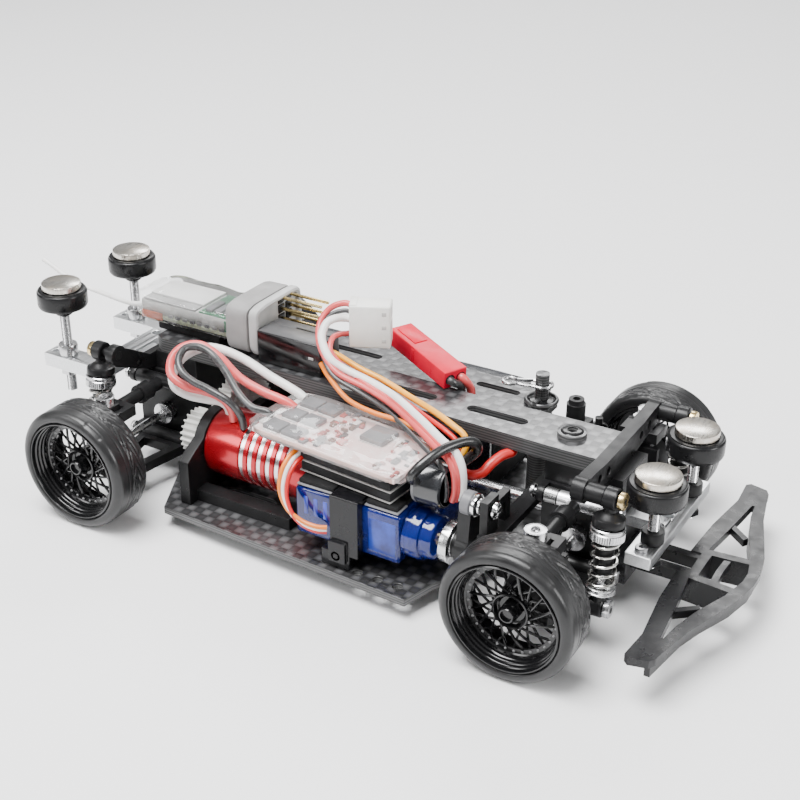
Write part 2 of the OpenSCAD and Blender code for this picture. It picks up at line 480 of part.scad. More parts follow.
module tyre(x, s) color([0.07, 0.07, 0.075]) at_frame() translate([x, 0, za]) side(s) rotate([90, 0, 0])
  rotate_extrude() polygon([[10.05, in_y + 0.1], [11.4, in_y], [tyre_r - 0.35, in_y + 0.5], [tyre_r, in_y + 1.1],
    [tyre_r, in_y + 1.7], [tyre_r - 0.25, in_y + 1.8], [tyre_r - 0.25, in_y + 2.1], [tyre_r, in_y + 2.2],
    [tyre_r, out_y - 1.2], [tyre_r - 0.3, out_y - 0.5], [11.3, out_y], [10.5, out_y - 0.1], [10.3, out_y - 0.5], [10.3, out_y - 0.7], [10.05, out_y - 0.7]]);

// ---------- steering ----------
sy = -21; sz = 13;                        // servo output
module servo_case() color([0.05, 0.2, 0.75]) at_frame() difference() {
  union() {
    box(-1.4, 21, -26, -6.4, 8, 18);
    xcyl(sy, sz, 4.9, 21, 27);
    xcyl(-11, sz, 3, 21, 24.2);
    box(21, 24.2, -17, -11, 10, 16);
    box(1.5, 3.5, -6.4, -3.6, 8.6, 17.4);
    xcyl(sy, sz, 1.5, 27, 31.6);
  }
  for (z = [10.3, 15.7]) xcyl(-9, z, 0.5, 23.5, 25);
}
module servo_clamp() color([0.04, 0.04, 0.045]) at_frame() union() {
  box(7.4, 13.4, -27.9, -26.05, 7.6, 19.6);
  box(7.4, 13.4, -27.9, -21, 18.05, 19.6);
  box(5.4, 11.6, -27.9, -24.6, plate_top, 7.9);
  box(7.4, 11, -28.6, -27.9, 6, 10.4);
  box(3.5, 20, -12, -6.6, plate_top, 7.9);
}
module servo_horn() color([0.05, 0.05, 0.055]) at_frame() difference() {
  union() {
    xcyl(sy, sz, 4, 28.2, 29.8);
    xcyl(sy, sz, 2.6, 29.8, 31);
    xcyl(sy, sz, 3.4, 31, 33.4);
    yz_slab(31, 33.4) polygon([[sy - 2.6, sz], [sy + 2.6, sz], [sy + 1.5, sz + 9.2], [sy - 1.5, sz + 9.2]]);
    xcyl(sy, sz + 9.2, 1.5, 31, 33.4);
    xcyl(sy, sz + 9.2, 0.8, 33, 37.6);
  }
  xcyl(sy, sz, 1.55, 28, 31.7);
}
module steering_link() color([0.06, 0.06, 0.065]) at_frame() {
  difference() {
    union() {
      box(35.4, 38.6, -king_y, king_y, 15.9, 17.4);
      for (s = [-1, 1]) zcyl(xf - 10, s*king_y, 1.9, 15.9, 17.4);
      box(35.4, 36.9, sy - 2.1, sy + 2.1, 17.4, 24.4);
      box(35.4, 36.9, sy + 2.1, -14.2, 21.4, 23);
      box(35.4, 36.9, -16.2, -14.2, 17.4, 23);
    }
    for (s = [-1, 1]) translate([0, s*king_y, 15]) linear_extrude(4) slot2d([xf - 10 - 0.15, 0], [xf - 10 + 0.9, 0], 0.97);
    yz_slab(35, 37.2) slot2d([sy, sz + 8.3], [sy, sz + 9.25], 0.97);
  }
}

// ---------- electronics ----------
module esc() color([0.8, 0.74, 0.72, 0.9]) at_frame() {
  // board in a clear sleeve, foam below, reservoir capacitor at its front end
  translate([4.2, -16.8, 0]) rotate([0, 0, -5.5]) {
    box(-17.2, 17.4, -8.6, 8.6, 24.4, 26);
    for (i = [0:2]) box(-8 + 5.2*i, -4.4 + 5.2*i, -5.5, -1.5, 26, 27);
    box(8, 14, -6, 1, 26, 27.2);
    box(-5.4, 15.2, -7, 6.6, 19.75, 24.4);
    box(-5.4, 15.2, -2.2, 6.6, 18.05, 19.75);
  }
  xcyl(-18.6, 22.5, 4.25, 21.2, 27.2);
}
module receiver() color([0.7, 0.7, 0.7, 0.9]) at_frame() {
  box(-57, -31, -3.2, 9.4, 30.2, 36.4);
  box(-52, -36, -2, 5, deck_top, 30.2);
}
module receiver_plugs() color([0.05, 0.05, 0.055]) at_frame() {
  box(-30.9, -24, -4.2, 11.4, 29.4, 39.6);
  box(-23.9, -9.6, -4.4, 3.4, deck_top + 0.1, 35.4);
  for (i = [0:1], j = [0:1]) xcyl(5.2 + 2.54*i, 36.4 + 2.4*j, 0.33, -24.2, -15.4);
}
module battery_pack() color([0.12, 0.12, 0.13]) at_frame() {
  box(-31.5, 21.3, 8.6, 27.4, plate_top, 23.6);
  box(-33.2, -31.5, 18, 26, 8, 20);
}
module balance_plug() color([0.9, 0.9, 0.88]) at_frame() translate([-3.2, 4, 38.8]) rotate([0, 0, 26]) difference() {
  union() { box(-4.05, 4.05, -2.4, 2.4, -4.5, 4.4); box(-4.05, -2.6, -2.2, 2.2, 4.4, 4.48); box(-2.4, 3.4, 2.4, 3, -2.6, 2.8); }
  for (i = [-1:1]) box(-2.5, 5, -1.3, 1.3, -1 + 2.8*i, 0.9 + 2.8*i);
  for (i = [-1:1]) box(2, 3.2, -3, -1, -0.5 + 2.8*i, 0.4 + 2.8*i);
}
module power_plug() color([0.8, 0.07, 0.09]) at_frame() translate([8.06, 9.05, 31.3]) rotate([0, 6, -26]) difference() {
  box(-12.1, 7.4, -2.6, 2.6, -1.8, 1.8);
  for (s = [-1, 1]) box(3.4, 9, s*1.25 - 0.85, s*1.25 + 0.85, -0.85, 0.85);
}

// leads, drawn through points along their runs
module wiring() color([0.85, 0.82, 0.8]) at_frame() {
  // three motor leads looping out behind the speed controller
  wire([[-11.6, -9.3, 27.1], [-14.2, -9, 27.6], [-18.6, -8.8, 28.7], [-25.4, -7.8, 30.2], [-31.2, -7.8, 31], [-35, -9, 30.8], [-37.4, -12, 29.4], [-37.4, -15.4, 27.4], [-35.4, -17.6, 25.8], [-32, -17.6, 24.8], [-28.6, -16.2, 24.1], [-25.6, -14.4, 23.2], [-24.6, -13.8, 22.3]], 0.8);
  wire([[-10.8, -13.7, 27.1], [-13, -14.1, 27.7], [-16.5, -14.4, 28.4], [-22.2, -13.7, 29.5], [-29.2, -10.8, 31], [-33.8, -10.6, 32.4], [-36.6, -12.8, 32.2], [-37, -16, 30.8], [-35, -18.8, 29], [-31.6, -18.8, 27.4], [-28, -17.4, 26.4], [-24.2, -16.4, 25], [-22.6, -15.8, 22.5]], 0.8);
  wire([[-12.6, -18.4, 26.9], [-15.8, -18.8, 27.1], [-19.8, -17.6, 28.6], [-25.2, -14.8, 31], [-30, -12.6, 33.2], [-33.6, -12.9, 34.8], [-35.6, -15.2, 35.2], [-35.2, -18.2, 34], [-33, -20.2, 32.4], [-30, -20, 30.4], [-26.4, -18.8, 28.6], [-21.6, -18.2, 26.4], [-19.6, -17.6, 23.4], [-19.4, -17.2, 21.9]], 0.7);
  // servo lead
  wire([[-3, -22.4, 23.2], [-3.2, -25, 22.8], [-3.4, -27, 21], [-3.2, -28.2, 17.6], [-1.4, -28.6, 14.4], [1.4, -28.4, 12.6], [4.4, -28.2, 11.8], [6.6, -28.8, 11.6]], 0.6);
  // three leads from the balance plug over the speed controller
  wire([[-7.45, 1.93, 41.2], [-8.6, 0.6, 41.3], [-9, -1.6, 41], [-9.2, -4, 39.6], [-8.2, -5.9, 36.6], [-5.4, -5.6, 33], [2, -5.8, 31.4], [9, -7.8, 30.4], [16.7, -11.6, 29.4], [23.6, -16, 29.2], [27.2, -17.6, 28.8], [28.7, -18, 26.4], [29, -18, 22.6], [28.9, -18.2, 20.6]], 0.6);
  wire([[-7.45, 1.93, 36.2], [-8.2, 0, 36.6], [-7.9, -2.2, 36.6], [-6.8, -4.4, 35.4], [-4.6, -3.8, 32.8], [2.3, -4.1, 31.6], [9.4, -6, 31.4], [16.8, -10, 30.9], [24, -14.6, 30.6], [28, -16, 30], [30, -16.5, 27], [30.3, -16.6, 22.5], [30.2, -16.8, 20.8]], 0.6);
  // servo and switch leads from the receiver plugs
  wire([[-9.4, -3.6, 35], [-7, -3, 34], [-2.2, -2.4, 32], [3.5, -2.5, 30.6], [10.1, -4.2, 29.5], [17.6, -7.6, 29.9], [22.6, -9.9, 29.6], [25.4, -10.6, 28.6], [26.3, -11.4, 27.1]], 0.5);
  wire([[-8.9, -3.6, 32.5], [-6, -7, 31.2], [0, -10, 29.2], [6.2, -11.4, 28.6], [12.6, -11.6, 28.6], [18.4, -13, 28.4], [20.4, -14.2, 28]], 0.5);
  // battery leads out of the red plug
  wire([[14.8, 4.37, 30.45], [15.9, 5.2, 30.1], [16.3, 6.9, 28.7], [16.2, 7.4, 26.4], [16, 7.4, 24.6]], 0.7);
  wire([[15.95, 6.6, 30.45], [17.2, 7.6, 30], [17.8, 8.4, 28.6], [17.8, 8.6, 26.6], [17.6, 8.5, 24.7]], 0.7);
  // power leads to the capacitor
  wire([[21.7, -24.3, 26], [22.6, -24.9, 26.6], [24, -23.1, 28.5], [25.7, -19.4, 30], [27.6, -15, 30.1], [28.8, -12.8, 29.2], [28.8, -11.8, 27.4], [27.9, -12, 26.2]], 0.9);
  wire([[32, -4.4, 24], [31, -6.6, 24.4], [30.2, -8.8, 23.4], [29.4, -10.5, 22.2], [27.9, -11.4, 21.6], [25.9, -11.3, 21.4], [24, -10.6, 21.2]], 0.9);
  // receiver aerial
  wire([[-57.6, 1.4, 32], [-60, 1, 31.2], [-63.4, 1, 30.9], [-70.4, 1, 31.6], [-75, 1, 32.1], [-80.4, 1, 33.6], [-83.7, 1, 35], [-86.1, 1, 36]], 0.5);
}

module spring_fr() spring(sfx, -1);
module spring_fl() spring(sfx, 1);
module spring_rr() spring(srx, -1);
module spring_rl() spring(srx, 1);
module lower_arm_fr() color([0.06, 0.06, 0.065]) at_frame() lower_arm(1, -1, 1);
module lower_arm_fl() color([0.06, 0.06, 0.065]) at_frame() lower_arm(1, 1, 1);
module lower_arm_rr() color([0.06, 0.06, 0.065]) at_frame() lower_arm(-1, -1, -1);
module lower_arm_rl() color([0.06, 0.06, 0.065]) at_frame() lower_arm(-1, 1, -1);
module upper_arm_fr() color([0.06, 0.06, 0.065]) at_frame() upper_arm(1, -1);
module upper_arm_fl() color([0.06, 0.06, 0.065]) at_frame() upper_arm(1, 1);
module upper_arm_rr() color([0.06, 0.06, 0.065]) at_frame() upper_arm(-1, -1);
module upper_arm_rl() color([0.06, 0.06, 0.065]) at_frame() upper_arm(-1, 1);
module carrier_fr() color([0.06, 0.06, 0.065]) at_frame() carrier_front(-1);
module carrier_fl() color([0.06, 0.06, 0.065]) at_frame() carrier_front(1);
module carrier_rr() color([0.06, 0.06, 0.065]) at_frame() carrier_rear(-1);
module carrier_rl() color([0.06, 0.06, 0.065]) at_frame() carrier_rear(1);
module knuckle_fr() color([0.08, 0.08, 0.085]) at_frame() knuckle(-1);
module knuckle_fl() color([0.08, 0.08, 0.085]) at_frame() knuckle(1);
module damper_rod_fr() damper_rod(sfx, -1);
module damper_rod_fl() damper_rod(sfx, 1);
module damper_rod_rr() damper_rod(srx, -1);
module damper_rod_rl() damper_rod(srx, 1);
module rim_fr() rim(xf, -1);
module rim_fl() rim(xf, 1);
module rim_rr() rim(xr, -1);
module rim_rl() rim(xr, 1);
module tyre_fr() tyre(xf, -1);
module tyre_fl() tyre(xf, 1);
module tyre_rr() tyre(xr, -1);
module tyre_rl() tyre(xr, 1);

lower_plate();
upper_deck();
battery_bar();
front_gearbox();
rear_gearbox();
damper_towers();
hinge_pins();
front_magnet_bar();
rear_magnet_arms();
magnet_posts();
magnets();
front_bumper();
motor_can();
motor_mount();
servo_case();
servo_clamp();
esc();
receiver();
receiver_plugs();
battery_pack();
balance_plug();
power_plug();
wiring();
damper_bodies();
spring_fr();
spring_fl();
spring_rr();
spring_rl();
centre_shaft();
motor_pinion();
servo_horn();
steering_link();
front_diff();
rear_diff();
lower_arm_fr();
lower_arm_fl();
lower_arm_rr();
lower_arm_rl();
upper_arm_fr();
upper_arm_fl();
upper_arm_rr();
upper_arm_rl();
carrier_fr();
carrier_fl();
carrier_rr();
carrier_rl();
knuckle_fr();
knuckle_fl();
damper_rod_fr();
damper_rod_fl();
damper_rod_rr();
damper_rod_rl();
rim_fr();
rim_fl();
rim_rr();
rim_rl();
tyre_fr();
tyre_fl();
tyre_rr();
tyre_rl();
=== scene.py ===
import bpy, bmesh, math, random
from mathutils import Vector, Matrix, Euler


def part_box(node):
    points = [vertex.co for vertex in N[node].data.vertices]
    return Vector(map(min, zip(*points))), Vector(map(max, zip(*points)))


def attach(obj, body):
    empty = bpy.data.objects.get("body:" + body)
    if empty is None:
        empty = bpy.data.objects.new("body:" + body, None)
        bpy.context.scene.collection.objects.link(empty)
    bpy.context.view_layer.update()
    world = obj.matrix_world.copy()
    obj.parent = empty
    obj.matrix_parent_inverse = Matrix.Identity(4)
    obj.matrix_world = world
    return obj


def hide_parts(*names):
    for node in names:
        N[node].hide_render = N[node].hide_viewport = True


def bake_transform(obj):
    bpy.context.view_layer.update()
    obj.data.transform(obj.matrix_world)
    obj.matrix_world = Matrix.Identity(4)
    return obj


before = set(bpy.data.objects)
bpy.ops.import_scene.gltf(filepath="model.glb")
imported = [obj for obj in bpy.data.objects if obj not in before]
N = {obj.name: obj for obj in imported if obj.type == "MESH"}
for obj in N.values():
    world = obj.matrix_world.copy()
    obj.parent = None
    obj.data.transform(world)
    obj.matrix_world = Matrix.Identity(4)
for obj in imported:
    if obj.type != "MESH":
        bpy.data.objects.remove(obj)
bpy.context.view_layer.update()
random.seed(7)

# ------------------------------------------------------------------ places
def mid(node):
    lo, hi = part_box(node)
    return (lo + hi) / 2
XF = mid("tyre_fr").x * 1000
XR = mid("tyre_rr").x * 1000
XO = XF - 47.0                      # car frame (origin midway between the axles) to row frame, mm
ZA = mid("tyre_fr").z * 1000
def W(p):
    return Vector(((p[0] + XO) / 1000, p[1] / 1000, p[2] / 1000))

# ------------------------------------------------------------------ node helpers
class G:
    """Small helper for building a material's node tree."""
    def __init__(self, name):
        self.m = bpy.data.materials.new(name)
        self.m.use_nodes = True
        self.t = self.m.node_tree
        self.n = self.t.nodes
        self.bsdf = self.n["Principled BSDF"]
        self.out = self.n["Material Output"]
        self.tc = self.n.new("ShaderNodeTexCoord")
        self.obj = self.tc.outputs["Object"]
    def link(self, a, b):
        self.t.links.new(a, b)
    def put(self, sock, v):
        if hasattr(v, "links") or isinstance(v, bpy.types.NodeSocket):
            self.link(v, sock)
        else:
            sock.default_value = v
    def math(self, op, a, b=None, c=None, clamp=False):
        k = self.n.new("ShaderNodeMath"); k.operation = op; k.use_clamp = clamp
        for i, v in enumerate((a, b, c)):
            if v is not None: self.put(k.inputs[i], v)
        return k.outputs[0]
    def mix(self, f, a, b):
        k = self.n.new("ShaderNodeMix"); k.data_type = "RGBA"
        self.put(k.inputs["Factor"], f)
        self.put(k.inputs[6], a if not isinstance(a, tuple) or len(a) == 4 else (*a, 1))
        self.put(k.inputs[7], b if not isinstance(b, tuple) or len(b) == 4 else (*b, 1))
        return k.outputs[2]
    def mixf(self, f, a, b):
        k = self.n.new("ShaderNodeMix"); k.data_type = "FLOAT"
        self.put(k.inputs["Factor"], f); self.put(k.inputs[2], a); self.put(k.inputs[3], b)
        return k.outputs[0]
    def noise(self, scale, detail=3, rough=0.5, vec=None, dist=0.0):
        k = self.n.new("ShaderNodeTexNoise")
        k.inputs["Scale"].default_value = scale; k.inputs["Detail"].default_value = detail
        k.inputs["Roughness"].default_value = rough; k.inputs["Distortion"].default_value = dist
        self.link(vec or self.obj, k.inputs["Vector"])
        return k.outputs["Fac"]
    def voronoi(self, scale, feature="F1", vec=None):
        k = self.n.new("ShaderNodeTexVoronoi"); k.feature = feature
        k.inputs["Scale"].default_value = scale
        self.link(vec or self.obj, k.inputs["Vector"])
        return k.outputs["Distance"]
    def mapping(self, scale=(1, 1, 1), rot=(0, 0, 0), loc=(0, 0, 0)):
        k = self.n.new("ShaderNodeMapping")
        k.inputs["Scale"].default_value = scale; k.inputs["Rotation"].default_value = rot; k.inputs["Location"].default_value = loc
        self.link(self.obj, k.inputs["Vector"])
        return k.outputs[0]
    def xyz(self, vec=None):
        k = self.n.new("ShaderNodeSeparateXYZ"); self.link(vec or self.obj, k.inputs[0])
        return k.outputs[0], k.outputs[1], k.outputs[2]
    def ramp(self, f, a, b, lo=0.0, hi=1.0):
        k = self.n.new("ShaderNodeMapRange"); k.clamp = True
        self.put(k.inputs[0], f)
        k.inputs[1].default_value = a; k.inputs[2].default_value = b; k.inputs[3].default_value = lo; k.inputs[4].default_value = hi
        return k.outputs[0]
    def bump(self, h, strength=0.3, dist=0.0001):
        k = self.n.new("ShaderNodeBump"); k.inputs["Strength"].default_value = strength; k.inputs["Distance"].default_value = dist
        self.link(h, k.inputs["Height"])
        self.link(k.outputs[0], self.bsdf.inputs["Normal"])
        return k
    def edge(self, width=0.0004):
        """Near 1 on convex edges, from the bevelled normal."""
        b = self.n.new("ShaderNodeBevel"); b.samples = 4; b.inputs["Radius"].default_value = width
        g = self.n.new("ShaderNodeNewGeometry")
        d = self.n.new("ShaderNodeVectorMath"); d.operation = "DOT_PRODUCT"
        self.link(b.outputs[0], d.inputs[0]); self.link(g.outputs["Normal"], d.inputs[1])
        return self.ramp(d.outputs["Value"], 0.99, 0.8)
    def set(self, **kw):
        names = {"color": "Base Color", "rough": "Roughness", "metal": "Metallic", "spec": "Specular IOR Level", "coat": "Coat Weight",
                 "coat_rough": "Coat Roughness", "trans": "Transmission Weight", "ior": "IOR", "alpha": "Alpha", "sheen": "Sheen Weight",
                 "aniso": "Anisotropic", "sss": "Subsurface Weight", "emit": "Emission Strength", "emit_color": "Emission Color"}
        for k, v in kw.items():
            s = self.bsdf.inputs[names[k]]
            if isinstance(v, tuple) and len(v) == 3: v = (*v, 1)
            self.put(s, v)
        return self

M = {}
def plastic(name, col, rough=0.45, var=0.25, bump=0.12, grain=2500, coat=0.0, spec=0.5, sss=0.0):
    g = G(name)
    n = g.noise(220, 4); f = g.noise(grain, 2)
    lo = tuple(max(0, c * (1 - var)) for c in col); hi = tuple(min(1, c * (1 + var)) for c in col)
    g.set(color=g.mix(g.ramp(n, 0.3, 0.7), lo, hi), rough=g.ramp(g.noise(420, 3), 0.3, 0.7, rough - 0.07, rough + 0.1), spec=spec, coat=coat, coat_rough=0.15)
    if sss: g.set(sss=sss); g.bsdf.inputs["Subsurface Radius"].default_value = (0.001, 0.0008, 0.0006)
    g.bump(f, bump, 0.00006)
    M[name] = g.m; return g
def metal(name, col, rough=0.25, grain=(300, 300, 300), bump=0.08, var=0.12):
    g = G(name)
    n = g.noise(5, 6, 0.65, vec=g.mapping(scale=grain)); s = g.noise(900, 3)
    lo = tuple(c * (1 - var) for c in col)
    g.set(color=g.mix(g.ramp(n, 0.3, 0.7), lo, col), metal=1.0, rough=g.ramp(s, 0.3, 0.7, rough * 0.75, rough * 1.3))
    g.bump(n, bump, 0.00003)
    M[name] = g.m; return g

plastic("black_moulded", (0.009, 0.009, 0.0095), 0.34, bump=0.2, grain=2600, spec=0.24)
plastic("black_gloss", (0.007, 0.007, 0.0075), 0.18, bump=0.04, spec=0.4)
plastic("strap_gloss", (0.005, 0.005, 0.006), 0.2, bump=0.1, grain=900, spec=0.3)
plastic("black_bumper", (0.012, 0.012, 0.013), 0.3, bump=0.28, grain=2200, spec=0.34)
plastic("white_plastic", (0.78, 0.78, 0.75), 0.38, var=0.05, bump=0.06, sss=0.15)
plastic("red_plastic", (0.60, 0.003, 0.03), 0.34, var=0.1, bump=0.04, spec=0.22)
plastic("grey_band", (0.25, 0.245, 0.242), 0.6, var=0.15, bump=0.5, grain=4200)
plastic("band_edge", (0.42, 0.42, 0.415), 0.55, var=0.12, bump=0.5, grain=4200)
plastic("foam", (0.010, 0.010, 0.0105), 0.75, var=0.5, bump=0.9, grain=1500, spec=0.25)
plastic("battery_wrap", (0.010, 0.011, 0.015), 0.24, var=0.3, bump=0.15, grain=500, coat=0.25)
plastic("cap_sleeve", (0.018, 0.019, 0.022), 0.18, var=0.3, bump=0.06, grain=700, coat=0.6)
plastic("cap_end", (0.012, 0.012, 0.014), 0.12, var=0.3, bump=0.25, grain=500, coat=0.7)
plastic("pcb_green", (0.03, 0.14, 0.07), 0.3, bump=0.1)
plastic("plug_gloss", (0.005, 0.0045, 0.005), 0.13, bump=0.02, spec=0.45)
# a lit grey copy of the black plug plastic: painted highlight on the tops of the servo plugs
plastic("plug_top_painted_highlight", (0.075, 0.075, 0.078), 0.38, bump=0.06)
plastic("rx_end", (0.42, 0.42, 0.41), 0.45, var=0.15, bump=0.15)
plastic("chip_grey", (0.15, 0.15, 0.16), 0.4, bump=0.08)
plastic("chip_black", (0.010, 0.010, 0.011), 0.35, bump=0.08, spec=0.3)
plastic("pcb_edge", (0.42, 0.46, 0.30), 0.35, var=0.15, bump=0.08)
plastic("rx_case", (0.42, 0.42, 0.41), 0.4, var=0.1, bump=0.06)
plastic("rx_stripe", (0.30, 0.30, 0.30), 0.45, var=0.2, bump=0.1)
plastic("orange_tab", (0.7, 0.13, 0.03), 0.4, bump=0.05)
plastic("window_grey", (0.5, 0.49, 0.48), 0.5, var=0.1, bump=0.05)
plastic("label_pale", (0.72, 0.72, 0.71), 0.35, var=0.05, bump=0.03)
metal("steel", (0.62, 0.62, 0.63), 0.24)
metal("steel_dark", (0.32, 0.32, 0.33), 0.3)
metal("brass", (0.78, 0.6, 0.3), 0.26)
metal("gold_pin", (0.86, 0.68, 0.33), 0.22)
metal("spring_steel", (0.66, 0.65, 0.62), 0.2)

# nickel discs: warm plating, fine scratches, a few stains
g = G("nickel"); x, y, z = g.xyz()
sc = g.noise(60, 8, 0.75, vec=g.mapping(scale=(60, 4, 4), rot=(0, 0, 0.7)))
st = g.ramp(g.noise(330, 4, 0.6), 0.42, 0.72)
g.set(color=g.mix(st, (0.66, 0.63, 0.58), (0.5, 0.44, 0.36)), metal=1.0, rough=g.math("ADD", g.ramp(sc, 0.35, 0.65, 0.2, 0.34), g.math("MULTIPLY", st, 0.08)))
g.bump(sc, 0.12, 0.00003); M["nickel"] = g.m

# bar aluminium: fine milling lines along Y and dull skin
g = G("aluminium")
li = g.noise(8, 6, 0.7, vec=g.mapping(scale=(420, 16, 420)))
e = g.edge(0.00025)
g.set(color=g.mix(e, g.mix(g.ramp(li, 0.35, 0.65), (0.62, 0.63, 0.64), (0.8, 0.81, 0.82)), (0.92, 0.92, 0.92)), metal=1.0, rough=g.ramp(li, 0.3, 0.7, 0.26, 0.42))
g.bump(li, 0.15, 0.00003); M["aluminium"] = g.m

def carbon(name, cell=0.00185):
    """plain weave of resin-coated tows, one over one; the plate's cut edges show the layers; on the top face the pale
    and dark cells, the shading across each tow and the pale blotches are painted sheen and painted reflection of the
    studio light
    """
    g = G(name); x, y, z = g.xyz()
    wob = g.math("MULTIPLY", g.math("SUBTRACT", g.noise(90, 2), 0.5), 0.35)
    u = g.math("ADD", g.math("MULTIPLY", x, 1 / cell), wob); v = g.math("SUBTRACT", g.math("MULTIPLY", y, 1 / cell), wob)
    i = g.math("FLOOR", u); j = g.math("FLOOR", v)
    warp = g.math("FLOORED_MODULO", g.math("ADD", i, j), 2.0)
    warp = g.math("GREATER_THAN", warp, 0.5)
    pu = g.math("SINE", g.math("MULTIPLY", g.math("FRACT", u), math.pi)); pv = g.math("SINE", g.math("MULTIPLY", g.math("FRACT", v), math.pi))
    across = g.mixf(warp, pv, pu); along = g.mixf(warp, pu, pv)
    fib_u = g.noise(6, 4, 0.7, vec=g.mapping(scale=(2600, 160, 200))); fib_v = g.noise(6, 4, 0.7, vec=g.mapping(scale=(160, 2600, 200)))
    fib = g.mixf(warp, fib_v, fib_u)
    # painted sheen: warp cells pale and weft cells dark in the colour, standing in for the studio light reflecting off
    # the tows
    painted_sheen_tone = g.mixf(warp, 0.28, 1.0)
    # painted reflection: pale blotches of studio light spread over the top face
    painted_reflection_blots = g.ramp(g.noise(140, 3), 0.3, 0.7, 0.7, 1.25)
    # painted shade and highlight: each tow darker towards its edges and lighter at its crown
    shape = g.math("ADD", g.math("MULTIPLY", g.math("MULTIPLY", across, along), 0.6), 0.4)
    fibre_tone_with_painted_sheen = g.math("MULTIPLY", g.math("MULTIPLY", g.math("MULTIPLY", painted_sheen_tone, shape), g.math("ADD", g.math("MULTIPLY", fib, 0.6), 0.7)), painted_reflection_blots)
    face = g.n.new("ShaderNodeNewGeometry"); nx, ny, nz = g.xyz(face.outputs["Normal"])
    up = g.math("GREATER_THAN", g.math("ABSOLUTE", nz), 0.6)
    lay = g.ramp(g.math("ADD", g.math("SINE", g.math("MULTIPLY", z, 2 * math.pi / 0.00055)), g.math("MULTIPLY", g.noise(9, 5, 0.7, vec=g.mapping(scale=(30, 30, 900))), 1.6)), -0.2, 2.0)
    top = g.mix(fibre_tone_with_painted_sheen, (0.010, 0.010, 0.011), (0.105, 0.105, 0.108))
    cut = g.mix(lay, (0.02, 0.02, 0.021), (0.10, 0.10, 0.10))
    g.set(color=g.mix(up, cut, top), rough=g.mixf(up, 0.42, g.mixf(warp, 0.36, 0.28)), metal=g.mixf(up, 0.0, 0.2), coat=g.mixf(up, 0.1, 0.55), coat_rough=0.16, spec=0.5)
    g.bump(g.math("MULTIPLY", g.math("MULTIPLY", across, along), up), 0.45, 0.00006)
    M[name] = g.m
carbon("carbon_plate")
carbon("carbon_deck")

# red anodised can with bare machined rings
g = G("red_can")
li = g.noise(6, 5, 0.7, vec=g.mapping(scale=(900, 40, 40)))
g.set(color=g.mix(g.ramp(li, 0.3, 0.7), (0.40, 0.004, 0.012), (0.47, 0.006, 0.016)), metal=0.7, rough=g.ramp(li, 0.3, 0.7, 0.2, 0.26), coat=0.5, coat_rough=0.12)
g.bump(li, 0.02, 0.00002); M["red_can"] = g.m
metal("bare_ring", (0.86, 0.86, 0.87), 0.2, grain=(900, 40, 40))

# translucent blue case
g = G("blue_case")
n = g.noise(160, 3)
g.set(color=g.mix(g.ramp(n, 0.3, 0.7), (0.002, 0.008, 0.13), (0.006, 0.024, 0.28)), rough=0.08, trans=0.45, ior=1.42, coat=0.5, coat_rough=0.05)
g.bump(g.noise(2200, 2), 0.05, 0.00005); M["blue_case"] = g.m
g = G("blue_core"); g.set(color=g.mix(g.ramp(g.noise(300, 3), 0.3, 0.7), (0.003, 0.012, 0.14), (0.01, 0.05, 0.42)), rough=0.35, coat=0.3); g.bump(g.noise(900, 2), 0.1, 0.0001); M["blue_core"] = g.m

def film(name, tint=(1, 1, 1), haze=0.16, rough=0.12, milky=(0.9, 0.88, 0.87)):
    """Thin clear sleeve: see-through, with gloss by angle and a little haze."""
    g = G(name); t = g.t
    tr = g.n.new("ShaderNodeBsdfTransparent"); tr.inputs[0].default_value = (*tint, 1)
    gl = g.n.new("ShaderNodeBsdfGlossy"); gl.inputs["Roughness"].default_value = rough
    df = g.n.new("ShaderNodeBsdfDiffuse"); df.inputs[0].default_value = (*milky, 1)
    fr = g.n.new("ShaderNodeFresnel"); fr.inputs[0].default_value = 1.5
    wr = g.noise(210, 2, 0.45, vec=g.mapping(scale=(1, 0.5, 1)), dist=0.5)
    b = g.n.new("ShaderNodeBump"); b.inputs["Strength"].default_value = 0.45; b.inputs["Distance"].default_value = 0.0006
    g.link(wr, b.inputs["Height"])
    for k in (gl, fr): g.link(b.outputs[0], k.inputs["Normal"])
    m1 = g.n.new("ShaderNodeMixShader"); m2 = g.n.new("ShaderNodeMixShader")
    g.put(m1.inputs[0], g.math("MULTIPLY", g.ramp(wr, 0.3, 0.75, 0.6, 1.5), haze))
    g.link(tr.outputs[0], m1.inputs[1]); g.link(df.outputs[0], m1.inputs[2])
    g.put(m2.inputs[0], g.math("ADD", g.math("MULTIPLY", fr.outputs[0], 1.1), 0.0, clamp=True))
    g.link(m1.outputs[0], m2.inputs[1]); g.link(gl.outputs[0], m2.inputs[2])
    g.link(m2.outputs[0], g.out.inputs["Surface"])
    g.n.remove(g.bsdf)
    M[name] = g.m
film("clear_sleeve", haze=0.10, rough=0.07)
film("clear_sleeve_rx", haze=0.05, rough=0.06)

plastic("part_red", (0.42, 0.08, 0.07), 0.4, var=0.3, bump=0.05)
plastic("part_dark", (0.05, 0.04, 0.04), 0.4, bump=0.05)
plastic("solder", (0.72, 0.70, 0.69), 0.3, var=0.15, bump=0.1)
plastic("board_edge", (0.62, 0.40, 0.34), 0.4, var=0.15, bump=0.05)
plastic("label_grey", (0.2, 0.2, 0.21), 0.35, var=0.2, bump=0.08)
plastic("tape_edge", (0.34, 0.33, 0.32), 0.4, var=0.25, bump=0.1)
# brighter blue standing in for light glowing through the translucent case: painted glow, no emission
plastic("blue_painted_glow", (0.008, 0.03, 0.36), 0.2, var=0.3, bump=0.05, coat=0.4)
metal("chrome", (0.93, 0.93, 0.94), 0.08, bump=0.03, var=0.05)

